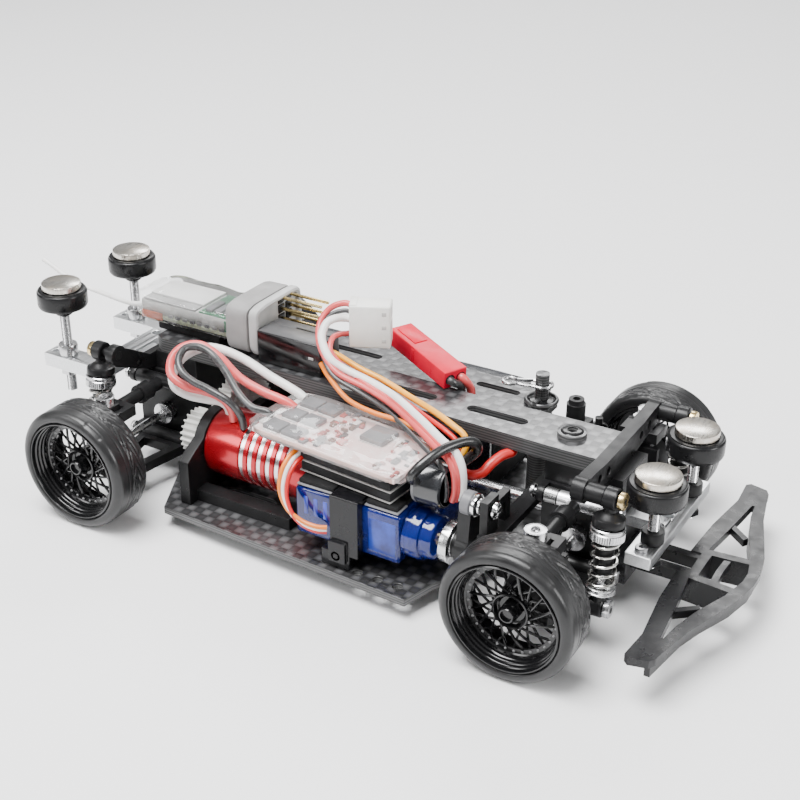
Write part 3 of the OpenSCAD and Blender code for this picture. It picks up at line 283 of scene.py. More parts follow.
# speed controller board: pale pink solder mask with traces
g = G("esc_board")
v1 = g.voronoi(900, "F1"); n = g.noise(420, 4)
c = g.mix(g.ramp(n, 0.45, 0.62), (0.80, 0.60, 0.58), (0.88, 0.80, 0.78))
c = g.mix(g.ramp(v1, 0.1, 0.16, 1, 0), c, (0.70, 0.30, 0.30))
g.set(color=c, rough=0.35, coat=0.3); g.bump(n, 0.1, 0.0001); M["esc_board"] = g.m

def lead(name, col, rough=0.38):
    g = G(name); n = g.noise(260, 3)
    g.set(color=g.mix(g.ramp(n, 0.3, 0.7), tuple(c * 0.82 for c in col), col), rough=g.ramp(g.noise(700, 2), 0.3, 0.7, rough - 0.06, rough + 0.08), coat=0.25, coat_rough=0.2)
    g.bsdf.inputs["Subsurface Weight"].default_value = 0.05
    g.bsdf.inputs["Subsurface Radius"].default_value = (0.0006, 0.0004, 0.0004)
    g.bump(g.noise(1600, 2), 0.08, 0.00005); M[name] = g.m
lead("lead_white", (0.86, 0.85, 0.83)); lead("lead_red", (0.62, 0.012, 0.010)); lead("lead_pink", (0.72, 0.085, 0.085))
lead("lead_black", (0.012, 0.012, 0.0125), 0.28); lead("lead_grey", (0.04, 0.04, 0.041), 0.3); lead("lead_orange", (0.85, 0.21, 0.008)); lead("lead_yellow", (0.95, 0.42, 0.012)); lead("lead_brown", (0.14, 0.05, 0.025))

# tyre: hard drift compound, semi-gloss with scuffs and dust
g = G("tyre_rubber")
n = g.noise(190, 5, 0.6); sc = g.noise(30, 6, 0.7, vec=g.mapping(scale=(20, 60, 20)))
g.set(color=g.mix(g.ramp(n, 0.35, 0.7), (0.009, 0.009, 0.0095), (0.018, 0.018, 0.0185)), spec=0.42, rough=g.math("ADD", g.ramp(n, 0.3, 0.7, 0.26, 0.4), g.math("MULTIPLY", g.ramp(sc, 0.5, 0.7), 0.12)), coat=0.0, coat_rough=0.3)
g.bump(g.noise(1500, 4), 0.18, 0.00008); M["tyre_rubber"] = g.m
plastic("rim_black", (0.004, 0.004, 0.0045), 0.15, bump=0.03, spec=0.5)

# ------------------------------------------------------------------ mesh helpers
class Piece:
    def __init__(self, name):
        self.name = name; self.v = []; self.f = []; self.mi = []; self.sm = []; self.mats = []
    def m(self, mat):
        if mat not in self.mats: self.mats.append(mat)
        return self.mats.index(mat)
    def add(self, verts, faces, mat, smooth=True):
        o = len(self.v); self.v += [Vector(p) for p in verts]; k = self.m(mat)
        for f in faces:
            self.f.append([o + i for i in f]); self.mi.append(k); self.sm.append(smooth)
    def bm(self, bm, mat, smooth=True):
        bm.verts.ensure_lookup_table()
        self.add([v.co.copy() for v in bm.verts], [[v.index for v in f.verts] for f in bm.faces], mat, smooth); bm.free()
    def box(self, x0, x1, y0, y1, z0, z1, mat, bev=0.25, seg=2, rot=None, piv=None):
        bm = bmesh.new(); bmesh.ops.create_cube(bm, size=1)
        for v in bm.verts: v.co = Vector(((x0 + x1) / 2 + v.co.x * (x1 - x0), (y0 + y1) / 2 + v.co.y * (y1 - y0), (z0 + z1) / 2 + v.co.z * (z1 - z0)))
        b = min(bev, 0.45 * min(x1 - x0, y1 - y0, z1 - z0))
        if b > 0: bmesh.ops.bevel(bm, geom=list(bm.edges), offset=b, segments=seg, affect="EDGES", profile=0.5)
        if rot is not None:
            R = Euler([math.radians(a) for a in rot]).to_matrix(); p = Vector(piv)
            for v in bm.verts: v.co = p + R @ (v.co - p)
        bm.verts.index_update(); self.bm(bm, mat)
    def lathe(self, prof, o, d, mat, n=48, up=None, ridges=0, ridge=0.0, rr=(0, 1e9)):
        """prof: [(r, h)] turned about the axis through o along d."""
        d = Vector(d).normalized(); o = Vector(o)
        a = d.orthogonal().normalized() if up is None else (Vector(up) - Vector(up).dot(d) * d).normalized(); b = d.cross(a)
        V = []; F = []
        for r, h in prof:
            for k in range(n):
                w = 2 * math.pi * k / n
                q = r
                if ridges and rr[0] <= h <= rr[1] and r > 0: q = r + ridge * (1 if (k % 2) else -1)
                V.append(o + d * h + (a * math.cos(w) + b * math.sin(w)) * q)
        L = len(prof)
        for i in range(L - 1):
            for k in range(n):
                k2 = (k + 1) % n
                F.append([i * n + k, i * n + k2, (i + 1) * n + k2, (i + 1) * n + k])
        if prof[0][0] > 1e-6: F.append([k for k in range(n - 1, -1, -1)])
        if prof[-1][0] > 1e-6: F.append([(L - 1) * n + k for k in range(n)])
        self.add(V, F, mat)
    def ring(self, prof, o, d, mat, n=48, **kw):
        """closed profile turned about an axis"""
        d = Vector(d).normalized(); o = Vector(o); a = d.orthogonal().normalized(); b = d.cross(a); V = []; F = []; L = len(prof)
        for r, h in prof:
            for k in range(n):
                w = 2 * math.pi * k / n; V.append(o + d * h + (a * math.cos(w) + b * math.sin(w)) * r)
        for i in range(L):
            j = (i + 1) % L
            for k in range(n):
                k2 = (k + 1) % n; F.append([i * n + k, i * n + k2, j * n + k2, j * n + k])
        self.add(V, F, mat)
    def cyl(self, a, b, r, mat, n=32, bev=0.15):
        a = Vector(a); b = Vector(b); L = (b - a).length; e = min(bev, r * 0.4, L * 0.4)
        self.lathe([(0, 0), (r - e, 0), (r - e * 0.3, e * 0.3), (r, e), (r, L - e), (r - e * 0.3, L - e * 0.3), (r - e, L), (0, L)], a, b - a, mat, n)
    def ball(self, c, r, mat, n=24):
        P = [(r * math.sin(math.pi * i / 12), -r * math.cos(math.pi * i / 12)) for i in range(13)]; P[0] = (0, -r); P[-1] = (0, r)
        self.lathe(P, c, (0, 0, 1), mat, n)
    def tube(self, pts, r, mat, n=12, k=8, ends=True, flat=None):
        P = spline(pts, k); L = len(P); T = []
        for i in range(L): T.append((P[min(L - 1, i + 1)] - P[max(0, i - 1)]).normalized())
        nrm = T[0].orthogonal().normalized(); V = []; F = []
        for i in range(L):
            nrm = (nrm - nrm.dot(T[i]) * T[i]).normalized(); b = T[i].cross(nrm)
            for q in range(n):
                w = 2 * math.pi * q / n; V.append(P[i] + (nrm * math.cos(w) + b * math.sin(w)) * r)
        for i in range(L - 1):
            for q in range(n):
                q2 = (q + 1) % n; F.append([i * n + q, i * n + q2, (i + 1) * n + q2, (i + 1) * n + q])
        if ends: F.append([q for q in range(n - 1, -1, -1)]); F.append([(L - 1) * n + q for q in range(n)])
        self.add(V, F, mat)
    def prism(self, poly, z0, z1, mat, plane="xy", bev=0.2, seg=2):
        """outline extruded between z0 and z1; plane says which two axes poly is in"""
        bm = bmesh.new()
        def P(a, b, c): return {"xy": (a, b, c), "yz": (c, a, b), "xz": (a, c, b)}[plane]
        vs = [bm.verts.new(P(a, b, z0)) for a, b in poly]; f = bm.faces.new(vs)
        r = bmesh.ops.extrude_face_region(bm, geom=[f]); up = [v for v in r["geom"] if isinstance(v, bmesh.types.BMVert)]
        d = Vector(P(0, 0, z1 - z0))
        for v in up: v.co += d
        bmesh.ops.recalc_face_normals(bm, faces=bm.faces)
        if bev > 0: bmesh.ops.bevel(bm, geom=[e for e in bm.edges if e.calc_face_angle(0) > 0.5], offset=bev, segments=seg, affect="EDGES", profile=0.5)
        bm.verts.index_update(); self.bm(bm, mat)
    def screw(self, c, d, r, h, mat="steel", hexr=None, dome=False):
        """cap screw head with a hex recess; c is the middle of the seat"""
        d = Vector(d).normalized(); c = Vector(c); hr = hexr or r * 0.5
        a = d.orthogonal().normalized(); b = d.cross(a); n = 30
        V = []; F = []
        prof = [(r, 0), (r, h * (0.55 if dome else 0.8)), (r * (0.8 if dome else 0.93), h * (0.85 if dome else 0.97)), (r * 0.66 if dome else r * 0.8, h)]
        for q, z in prof:
            for k in range(n): w = 2 * math.pi * k / n; V.append(c + d * z + (a * math.cos(w) + b * math.sin(w)) * q)
        def hexa(k, rr):
            w = 2 * math.pi * k / n; s = (w % (math.pi / 3)) - math.pi / 6
            return rr * math.cos(math.pi / 6) / math.cos(s)
        for z in (h, h * 0.35):
            for k in range(n): w = 2 * math.pi * k / n; q = hexa(k, hr); V.append(c + d * z + (a * math.cos(w) + b * math.sin(w)) * q)
        for i in range(5):
            for k in range(n): k2 = (k + 1) % n; F.append([i * n + k, i * n + k2, (i + 1) * n + k2, (i + 1) * n + k])
        F.append([5 * n + k for k in range(n)]); F.append([k for k in range(n - 1, -1, -1)])
        self.add(V, F, mat, smooth=True)
    def make(self, body, slot=None, replaces=(), smooth_angle=35, blend=None):
        me = bpy.data.meshes.new(self.name)
        me.from_pydata([W(p) for p in self.v], [], self.f)
        for m in self.mats: me.materials.append(M[m])
        me.polygons.foreach_set("material_index", self.mi)
        me.validate(); me.update()
        bm = bmesh.new(); bm.from_mesh(me); bmesh.ops.recalc_face_normals(bm, faces=bm.faces); bm.to_mesh(me); bm.free()
        shade(me, smooth_angle)
        o = bpy.data.objects.new(self.name, me); bpy.context.scene.collection.objects.link(o)
        if blend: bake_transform(o)
        else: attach(o, body)
        if replaces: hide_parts(*replaces)
        return o

def shade(me, deg):
    me.polygons.foreach_set("use_smooth", [True] * len(me.polygons))
    bm = bmesh.new(); bm.from_mesh(me); lim = math.radians(deg)
    for e in bm.edges: e.smooth = not (len(e.link_faces) == 2 and e.calc_face_angle(0) > lim)
    bm.to_mesh(me); bm.free()

def spline(pts, k=8):
    p = [Vector(q) for q in pts]; out = []
    for i in range(len(p) - 1):
        a, b, c, d = p[max(0, i - 1)], p[i], p[i + 1], p[min(len(p) - 1, i + 2)]
        for j in range(k):
            t = j / k
            out.append(0.5 * ((2 * b) + (c - a) * t + (2 * a - 5 * b + 4 * c - d) * t * t + (3 * b - a - 3 * c + d) * t ** 3))
    out.append(p[-1]); return out

def dress(node, mat, bevel=0.15, seg=2, angle=35):
    """a CAD node keeps its mesh and gets its material and softened edges"""
    o = N[node]; o.data.materials.clear(); o.data.materials.append(M[mat])
    if bevel:
        w = o.modifiers.new("weld", "WELD"); w.merge_threshold = 0.000002
        b = o.modifiers.new("soft", "BEVEL"); b.width = bevel / 1000; b.segments = seg; b.limit_method = "ANGLE"; b.angle_limit = math.radians(angle); b.harden_normals = False; b.use_clamp_overlap = True
    me = o.data
    me.polygons.foreach_set("use_smooth", [True] * len(me.polygons))
    s = o.modifiers.new("smooth", "NODES") if False else None
    return o

def paint(node, mat, bevel=0.12, seg=2, angle=40):
    o = N[node]; me = o.data
    me.materials.clear(); me.materials.append(M[mat] if isinstance(mat, str) else mat)
    if me.attributes.get("custom_normal"): me.attributes.remove(me.attributes["custom_normal"])
    me.polygons.foreach_set("use_smooth", [True] * len(me.polygons))
    w = o.modifiers.new("weld", "WELD"); w.merge_threshold = 0.000003
    if bevel:
        b = o.modifiers.new("soft", "BEVEL"); b.width = bevel / 1000; b.segments = seg; b.limit_method = "ANGLE"; b.angle_limit = math.radians(angle); b.use_clamp_overlap = True
    n = o.modifiers.new("even", "WEIGHTED_NORMAL"); n.keep_sharp = False
    return o

# ------------------------------------------------------------------ two-tone CAD pieces
def split_mat(name, mask_fn, a, b):
    """a copy of material a that turns into b where mask_fn(g, x, y, z) is 1 (x in the row frame, metres)"""
    src = {"black_moulded": ((0.009, 0.009, 0.0095), 0.36, 0.0), "steel": ((0.62, 0.62, 0.63), 0.24, 1.0), "white": ((0.72, 0.72, 0.69), 0.4, 0.0), "black_gloss": ((0.012, 0.012, 0.013), 0.2, 0.0), "brass": ((0.78, 0.6, 0.3), 0.26, 1.0)}
    g = G(name); x, y, z = g.xyz(); k = mask_fn(g, x, y, z)
    n = g.ramp(g.noise(300, 4), 0.3, 0.7, 0.8, 1.15)
    ca, ra, ma = src[a]; cb, rb, mb = src[b]
    col = g.mix(k, ca, cb)
    mulc = g.n.new("ShaderNodeVectorMath"); mulc.operation = "SCALE"; g.link(col, mulc.inputs[0]); g.put(mulc.inputs["Scale"], n)
    g.set(color=mulc.outputs[0], spec=0.3, metal=g.mixf(k, ma, mb), rough=g.math("ADD", g.mixf(k, ra, rb), g.ramp(g.noise(500, 3), 0.3, 0.7, -0.05, 0.08)))
    g.bump(g.noise(3000, 2), 0.15, 0.00005); M[name] = g.m
def above(z0): return lambda g, x, y, z: g.math("GREATER_THAN", z, z0 / 1000)
def radius_gt(y0, z0, r):
    def f(g, x, y, z):
        a = g.math("SUBTRACT", y, y0 / 1000); b = g.math("SUBTRACT", z, z0 / 1000)
        d = g.math("SQRT", g.math("ADD", g.math("MULTIPLY", a, a), g.math("MULTIPLY", b, b)))
        return g.math("GREATER_THAN", d, r / 1000)
    return f
split_mat("carrier_tone", above(22.3), "black_moulded", "steel")
split_mat("shaft_tone", radius_gt(0, 12.5, 2.97), "steel", "white")
split_mat("pinion_tone", radius_gt(-13.08, 14.3, 1.1), "steel", "white")
def ring_x(x0, x1):
    def f(g, x, y, z):
        return g.math("MULTIPLY", g.math("GREATER_THAN", x, (x0 + XO) / 1000), g.math("LESS_THAN", x, (x1 + XO) / 1000))
    return f
split_mat("horn_tone", ring_x(27.9, 29.9), "black_moulded", "steel")

# front upper arms: the barrel on the hinge pin is bright metal in turned sections, the rest moulded black
g = G("front_arm_tone"); x, y, z = g.xyz()
hub = g.math("LESS_THAN", g.math("ABSOLUTE", y), 0.00965)
def seg(a, b): return g.math("MULTIPLY", g.math("GREATER_THAN", x, (XF + a) / 1000), g.math("LESS_THAN", x, (XF + b) / 1000))
c = g.mix(seg(-3.4, -0.6), (0.30, 0.30, 0.30), (0.85, 0.85, 0.86)); c = g.mix(seg(-0.6, 2.9), c, (0.46, 0.46, 0.47))
groove = g.math("ADD", seg(-3.55, -3.3), seg(-0.75, -0.5)); c = g.mix(groove, c, (0.03, 0.03, 0.03))
n = g.ramp(g.noise(300, 4), 0.3, 0.7, 0.85, 1.1)
k = g.n.new("ShaderNodeVectorMath"); k.operation = "SCALE"; g.link(g.mix(hub, (0.009, 0.009, 0.0095), c), k.inputs[0]); g.put(k.inputs["Scale"], n)
g.set(color=k.outputs[0], metal=g.math("MULTIPLY", hub, 0.9), rough=g.mixf(hub, 0.32, g.ramp(g.noise(500, 3), 0.3, 0.7, 0.2, 0.34)), spec=g.mixf(hub, 0.24, 0.5))
g.bump(g.noise(3000, 2), 0.15, 0.00005); M["front_arm_tone"] = g.m

for n in ("front_gearbox", "rear_gearbox", "damper_towers", "motor_mount", "steering_link", "knuckle_fr", "knuckle_fl"): paint(n, "black_moulded", 0.14)
for c in ("fr", "fl", "rr", "rl"):
    paint("lower_arm_" + c, "black_moulded", 0.14); paint("upper_arm_" + c, "front_arm_tone" if c[0] == "f" else "black_moulded", 0.14); paint("carrier_" + c, "carrier_tone", 0.12)
paint("lower_plate", "carbon_plate", 0.1); paint("upper_deck", "carbon_deck", 0.1)
paint("servo_clamp", "strap_gloss", 0.3, 3); paint("hinge_pins", "steel", 0.1); paint("front_magnet_bar", "aluminium", 0.18, 3); paint("rear_magnet_arms", "aluminium", 0.18, 3)
paint("front_bumper", "black_bumper", 0.2, 3)
paint("centre_shaft", "shaft_tone", 0.05); paint("motor_pinion", "pinion_tone", 0.05)
paint("front_diff", "steel", 0.05); paint("rear_diff", "steel", 0.05)
paint("servo_horn", "horn_tone", 0.12)
paint("magnets", "nickel", 0.0)

# ------------------------------------------------------------------ wheels
def wheel(c, x, s, body):
    d = (0, s, 0); o = (x, 0, ZA)
    def at(r, w, a): return (x + r * math.cos(w), s * a, ZA + r * math.sin(w))
    p = Piece("rim_mesh_" + c)
    p.ring([(9.35, 28.6), (9.9, 28.5), (9.98, 28.9), (9.98, 36.15), (10.12, 36.35), (10.22, 36.6), (10.2, 36.85), (10.05, 36.98), (9.86, 36.92), (9.74, 36.6), (9.7, 36.15), (9.5, 36.0), (9.42, 35.85), (9.4, 35.45),
            (9.2, 35.3), (9.12, 35.15), (9.1, 34.75), (8.92, 34.55), (8.85, 34.3), (8.82, 33.5), (8.6, 33.3), (7.75, 33.2), (7.65, 33.0), (7.7, 32.5), (8.7, 32.3), (9.0, 31.6), (9.3, 30.6)], o, d, "rim_black", 96)
    # hub: funnel with a raised lip, stub axle, nut
    p.ring([(1.2, 31.0), (3.0, 31.0), (3.3, 32.4), (3.45, 33.6), (3.35, 34.0), (3.1, 34.1), (2.9, 33.9), (2.75, 33.2), (2.4, 32.9), (1.2, 32.9)], o, d, "rim_black", 56)
    n = 16
    for i in range(n):
        for q, lay in ((1, 0.0), (-1, 0.32)):
            a0 = 2 * math.pi * i / n + (0.09 if q > 0 else -0.09); a1 = a0 + q * 0.62
            pts = []
            for t in (0, 0.33, 0.66, 1):
                r = 3.1 + (8.0 - 3.1) * t
                X = (1 - t) * 3.1 * math.cos(a0) + t * 8.0 * math.cos(a1); Y = (1 - t) * 3.1 * math.sin(a0) + t * 8.0 * math.sin(a1)
                aa = 33.15 + 0.5 * math.sin(math.pi * (0.15 + 0.75 * t)) - lay - 0.25 * t
                pts.append((x + X, s * aa, ZA + Y))
            p.tube(pts, 0.24, "rim_black", 6, 3)
    for i in range(32):
        w = 2 * math.pi * (i + 0.5) / 32
        p.lathe([(0.27, 0), (0.26, 0.1), (0.18, 0.2), (0, 0.24)], at(8.2, w, 33.2), d, "rim_rivet", 10)
    # stub axle, cup and lock nut
    p.lathe([(0, 26.75), (1.0, 26.8), (2.4, 26.8), (2.5, 26.6), (2.5, 23.7), (2.6, 23.6), (2.85, 23.6), (2.9, 23.75), (2.9, 26.8), (2.75, 26.95), (1.5, 26.95), (1.5, 30.7), (2.3, 30.8), (2.4, 30.95), (2.4, 31.3), (1.2, 31.4), (1.2, 34.6), (1.05, 34.8), (0, 34.85)], o, d, "steel_dark", 32)
    nut = []
    V = []; F = []
    for z, r in ((32.9, 1.75), (33.1, 1.9), (34.1, 1.9), (34.35, 1.7)):
        for k in range(6): w = math.pi / 3 * k; V.append(at(r, w, z))
    for i in range(3):
        for k in range(6): F.append([i * 6 + k, i * 6 + (k + 1) % 6, (i + 1) * 6 + (k + 1) % 6, (i + 1) * 6 + k])
    F.append([k for k in range(6)]); F.append([18 + k for k in range(6)])
    p.add(V, F, "rim_black")
    p.lathe([(1.55, 34.3), (1.6, 34.6), (1.5, 35.2), (1.3, 35.45), (1.05, 35.5), (1.0, 35.2), (0.9, 34.9), (0, 34.85)], o, d, "rim_black", 28)
    p.make(body, "rim_black", ("rim_" + c,))
    # tyre
    t = Piece("tyre_mesh_" + c)
    prof = [(10.05, 28.4), (10.6, 28.25), (11.3, 28.22), (11.8, 28.34), (12.15, 28.6), (12.36, 28.95)]
    a = 29.3
    while a < 35.55: prof.append((12.48, a)); a += 0.16
    prof += [(12.47, 35.7), (12.38, 36.05), (12.2, 36.38), (11.9, 36.66), (11.55, 36.85), (11.2, 36.95), (10.8, 36.97), (10.5, 36.88), (10.36, 36.65), (10.3, 36.3), (10.05, 36.25)]
    n = 288; V = []; F = []; fm = []
    mark = 1.02 if s < 0 else 2.1
    for j, (r, a) in enumerate(prof):
        for k in range(n):
            w = 2 * math.pi * k / n; q = r
            if 28.9 < a < 32.5 and r > 12.3:
                u = (a - 28.9) / 3.6
                f = math.sin(26 * w + 5.0 * math.sin(2.2 * u * math.pi) + 1.3 * math.sin(7 * w))
                g2 = math.sin(13 * w - 6.0 * u + 0.8 * math.sin(11 * w))
                q -= 0.13 * max(0, min(1, (f - 0.45) * 4)) + 0.1 * max(0, min(1, (g2 - 0.72) * 5))
            if 32.6 < a < 32.95: q -= 0.12
            if 33.75 < a < 33.95: q -= 0.05
            dm = abs(((w - mark + math.pi) % (2 * math.pi)) - math.pi)
            if dm < 0.17 and 35.5 < a < 36.5 and r > 12.1: q -= 0.14
            V.append(at(q, w, a))
    L = len(prof)
    for j in range(L):
        j2 = (j + 1) % L
        for k in range(n):
            k2 = (k + 1) % n; F.append([j * n + k, j * n + k2, j2 * n + k2, j2 * n + k])
    t.add(V, F, "tyre_rubber")
    t.make(body, "tyre", ("tyre_" + c,), smooth_angle=50)
plastic("rim_rivet", (0.2, 0.2, 0.205), 0.2, bump=0.02, coat=0.5)
wheel("fr", 47, -1, "wheel_fr"); wheel("fl", 47, 1, "wheel_fl"); wheel("rr", -47, -1, "wheel_rr"); wheel("rl", -47, 1, "wheel_rl")

# ------------------------------------------------------------------ dampers
SD = Vector((0, 1.5, 11.5)).normalized()
def damper(c, x, s, body, f):
    e = Vector((x, s * 19.5, 8.5)); d = Vector((0, -s * SD.y, SD.z))
    b = Piece("damper_body_" + c)
    b.lathe([(0.8, 6.7), (1.55, 6.6), (1.7, 6.8), (1.7, 11.6), (2.2, 11.6), (2.2, 13.9), (2.3, 14.0), (2.3, 15.4), (2.7, 15.5), (2.85, 15.7), (2.85, 16.7), (2.7, 16.95), (2.2, 17.1), (1.6, 17.7), (1.1, 18.0), (1.1, 19)], e, d, "black_moulded", 40)
    # knurled collar
    prof = [(2.1, 12.85), (2.8, 12.85), (3.0, 13.05), (3.0, 14.3), (2.85, 14.45), (2.85, 14.65), (3.0, 14.8), (3.0, 15.1), (2.85, 15.25), (2.2, 15.25)]
    b.lathe(prof, e, d, "steel", 88, ridges=1, ridge=0.06, rr=(13.0, 14.35))
    # eye, a steel ring beside it and stud screw
    top = e + d * 20.3
    b.ring([(0.95, -1.15), (1.8, -1.15), (2.0, -0.95), (2.0, 0.95), (1.8, 1.15), (0.95, 1.15)], top, (1, 0, 0), "black_moulded", 36)
    b.make("chassis", "moulded_black")
    sg = 1 if f else -1
    k = Piece("damper_screws_" + c)
    k.screw(top + Vector((sg * 1.5, 0, 0)), (sg, 0, 0), 1.55, 1.0, "brass", 0.75)
    k.lathe([(0.95, -1.35), (1.5, -1.35), (1.6, -1.2), (1.6, -1.0), (0.95, -1.0)], top, (1, 0, 0), "steel", 28)
    k.make("chassis", "steel")
    r = Piece("damper_rod_mesh_" + c)
    r.lathe([(0, 9), (0.6, 9), (0.74, 8.8), (0.74, 4.5), (1.4, 4.55), (1.5, 4.4), (1.5, 4.15), (2.4, 4.1), (2.6, 3.95), (2.65, 3.75), (2.65, 3.3), (2.75, 3.2), (2.75, 3.0), (2.55, 2.85), (1.4, 2.8), (1.35, 1.2)], e, d, "steel", 44)
    r.ring([(1.02, -1.2), (1.7, -1.2), (1.9, -1.0), (1.9, 1.0), (1.7, 1.2), (1.02, 1.2)], e, (1, 0, 0), "black_moulded", 36)
    r.lathe([(1.5, 1.0), (1.45, 2.0), (1.5, 2.8)], e, d, "black_moulded", 28)
    r.make(body, "steel", ("damper_rod_" + c,))
    q = Piece("damper_foot_screw_" + c)
    q.screw(e + Vector((sg * 1.45, 0, 0)), (sg, 0, 0), 1.65, 1.05, "steel", 0.8)
    q.make("lower_arm_" + c, "steel")
    # coil spring, ground flat at both ends
    sp = Piece("spring_mesh_" + c); a = d.orthogonal().normalized(); bb = d.cross(a); pts = []; turns = 5.5; m = int(turns * 22)
    h0, h1 = 4.45, 12.55
    for i in range(m + 1):
        tt = i / m; w = 2 * math.pi * turns * tt
        ease = tt
        h = h0 + (h1 - h0) * max(0, min(1, (tt * turns - 0.5) / (turns - 1.0)))
        pts.append(e + d * h + (a * math.cos(w) + bb * math.sin(w)) * 2.25)
    sp.tube(pts, 0.27, "spring_steel", 10, 1)
    sp.make(None, "steel", ("spring_" + c,), blend=("chassis", body, W(e + d * h1), W(e + d * h0)))
for c, x, s, f in (("fr", 56.8, -1, 1), ("fl", 56.8, 1, 1), ("rr", -54.75, -1, 0), ("rl", -54.75, 1, 0)):
    damper(c, x, s, "damper_rod_" + c, f)
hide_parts("damper_bodies")

# ------------------------------------------------------------------ magnets and their posts
def post(name, x, y, zt, arm, tail):
    zm = zt - 1.4; p = Piece(name)
    # threaded rod: ridges along its length
    prof = [(0, tail), (0.8, tail)]
    z = tail + 0.15
    while z < zm - 4.5: prof += [(1.02, z), (0.93, z + 0.14)]; z += 0.28
    prof += [(0, zm - 4.3)]
    p.lathe(prof, (x, y, 0), (0, 0, 1), "steel", 24)
    p.lathe([(1.05, arm + 0.02), (1.9, arm + 0.02), (2.05, arm + 0.2), (2.05, arm + 2.2), (1.9, arm + 2.45), (1.05, arm + 2.5)], (x, y, 0), (0, 0, 1), "steel" if zt > 35 else "black_moulded", 32)
    nz = arm - 3.05
    V = []; F = []
    for z, r in ((nz - 1.35, 1.75), (nz - 1.2, 1.9), (nz - 0.15, 1.9), (nz, 1.75)):
        for k in range(6): V.append((x + r * math.cos(math.pi / 3 * k), y + r * math.sin(math.pi / 3 * k), z))
    for i in range(3):
        for k in range(6): F.append([i * 6 + k, i * 6 + (k + 1) % 6, (i + 1) * 6 + (k + 1) % 6, (i + 1) * 6 + k])
    F.append(list(range(6))); F.append([18 + k for k in range(6)]); p.add(V, F, "black_moulded" if zt < 35 else "steel")
    zc = zm - 4
    p.lathe([(1.0, zc - 1.8), (1.6, zc - 1.8), (1.8, zc - 1.6), (1.85, zc - 0.35), (2.1, zc - 0.02), (4.6, zc + 0.02), (4.95, zc + 0.2), (5.15, zc + 0.6), (5.2, zc + 0.95), (5.2, zc + 3.3), (5.1, zc + 3.55), (4.92, zc + 3.68), (4.86, zc + 3.9), (4.7, zc + 3.96), (4.1, zc + 3.96), (4.05, zc + 3.82), (0, zc + 3.82)], (x, y, 0), (0, 0, 1), "black_cup", 72)
    return p
plastic("black_cup", (0.006, 0.006, 0.0065), 0.28, bump=0.12, grain=1800, spec=0.3)
pp = [post("magnet_post_fr", 62, -9.55, 31.3, 17.7, 12.6), post("magnet_post_fl", 62, 9.55, 31.3, 17.7, 12.6), post("magnet_post_rr", -69.5, -11.1, 38.5, 22, 13.6), post("magnet_post_rl", -69.5, 11.1, 38.5, 22, 13.6)]
pp[0].make("chassis", "moulded_black", ("magnet_posts",))
for q in pp[1:]: q.make("chassis", "moulded_black")
mg = Piece("magnet_discs")
for x, y, z in ((62, -9.55, 31.3), (62, 9.55, 31.3), (-69.5, -11.1, 38.5), (-69.5, 11.1, 38.5)):
    mg.lathe([(0, z - 1.4), (3.9, z - 1.4), (4.05, z - 1.25), (4.05, z - 0.22), (4.0, z - 0.08), (3.88, z), (0, z)], (x, y, 0), (0, 0, 1), "nickel", 72)
mg.make("chassis", "nickel", ("magnets",))

# ------------------------------------------------------------------ motor
p = Piece("motor_can_mesh"); MY, MZ = -13.08, ZA + 1.8; x0 = -27.6
o = (x0, MY, MZ); d = (1, 0, 0)
p.lathe([(2.4, -1.9), (2.5, -1.8), (2.5, 0), (5.9, 0), (6.5, 0.12), (6.85, 0.4), (7.0, 0.85), (7.0, 8.5)], o, d, "red_can", 96)
for i in range(6):
    a = 8.5 + 2.1 * i
    p.lathe([(7.0, a), (6.74, a + 0.07), (6.68, a + 0.12)], o, d, "red_can", 96)
    p.lathe([(6.68, a + 0.12), (6.66, a + 0.6), (6.68, a + 1.08)], o, d, "bare_ring", 96)
    p.lathe([(6.68, a + 1.08), (6.74, a + 1.13), (7.0, a + 1.2), (7.0, a + 2.1)], o, d, "red_can", 96)
p.lathe([(7.0, 21.1), (7.0, 23.9), (6.85, 24.25), (6.5, 24.5), (6.0, 24.6)], o, d, "red_can", 96)
p.lathe([(6.0, 24.6), (5.8, 24.3), (2.6, 24.3), (2.4, 24.6), (2.4, 25.4), (2.2, 25.5), (0, 25.5)], o, d, "black_gloss", 64)
p.lathe([(1.05, -1.9), (1.05, 6)], o, d, "steel", 24)
p.make("chassis", "red_can", ("motor_can",))
q = Piece("motor_mount_screws")
for a in (60, 180, 300):
    c = Vector((-30, MY + 5 * math.cos(math.radians(a)), MZ + 5 * math.sin(math.radians(a))))
    q.screw(c, (-1, 0, 0), 1.25, 0.8, "steel", 0.6)
q.screw((-30, -22.6, 7.2), (-1, 0, 0), 1.2, 0.8, "steel", 0.6)
q.make("chassis", "steel")

# ------------------------------------------------------------------ servo
p = Piece("servo_shell")
p.box(-1.4, 8.6, -26, -6.4, 8, 18, "blue_case", 0.7, 3)
p.box(8.75, 21, -26, -6.4, 8, 18, "blue_case", 0.7, 3)
p.box(8.5, 8.85, -25.8, -6.6, 8.2, 17.8, "blue_core", 0.1, 1)
p.lathe([(4.5, 20.9), (4.9, 21.2), (4.9, 24.0), (4.75, 24.3), (4.3, 24.5), (4.2, 25.0), (4.2, 26.3), (4.0, 26.7), (3.5, 26.9), (1.6, 27.0)], (0, -21, 13), (1, 0, 0), "blue_case", 56)
p.lathe([(2.8, 20.9), (3.0, 21.1), (3.0, 23.8), (2.8, 24.1), (0, 24.2)], (0, -11, 13), (1, 0, 0), "blue_case", 40)
p.box(20.9, 24.1, -17.2, -11, 10, 16, "blue_case", 0.5, 3)
p.box(1.5, 3.5, -6.6, -3.6, 8.6, 17.4, "blue_case", 0.3, 2)
p.make("chassis", "blue_case", ("servo_case",))
p = Piece("servo_inside")
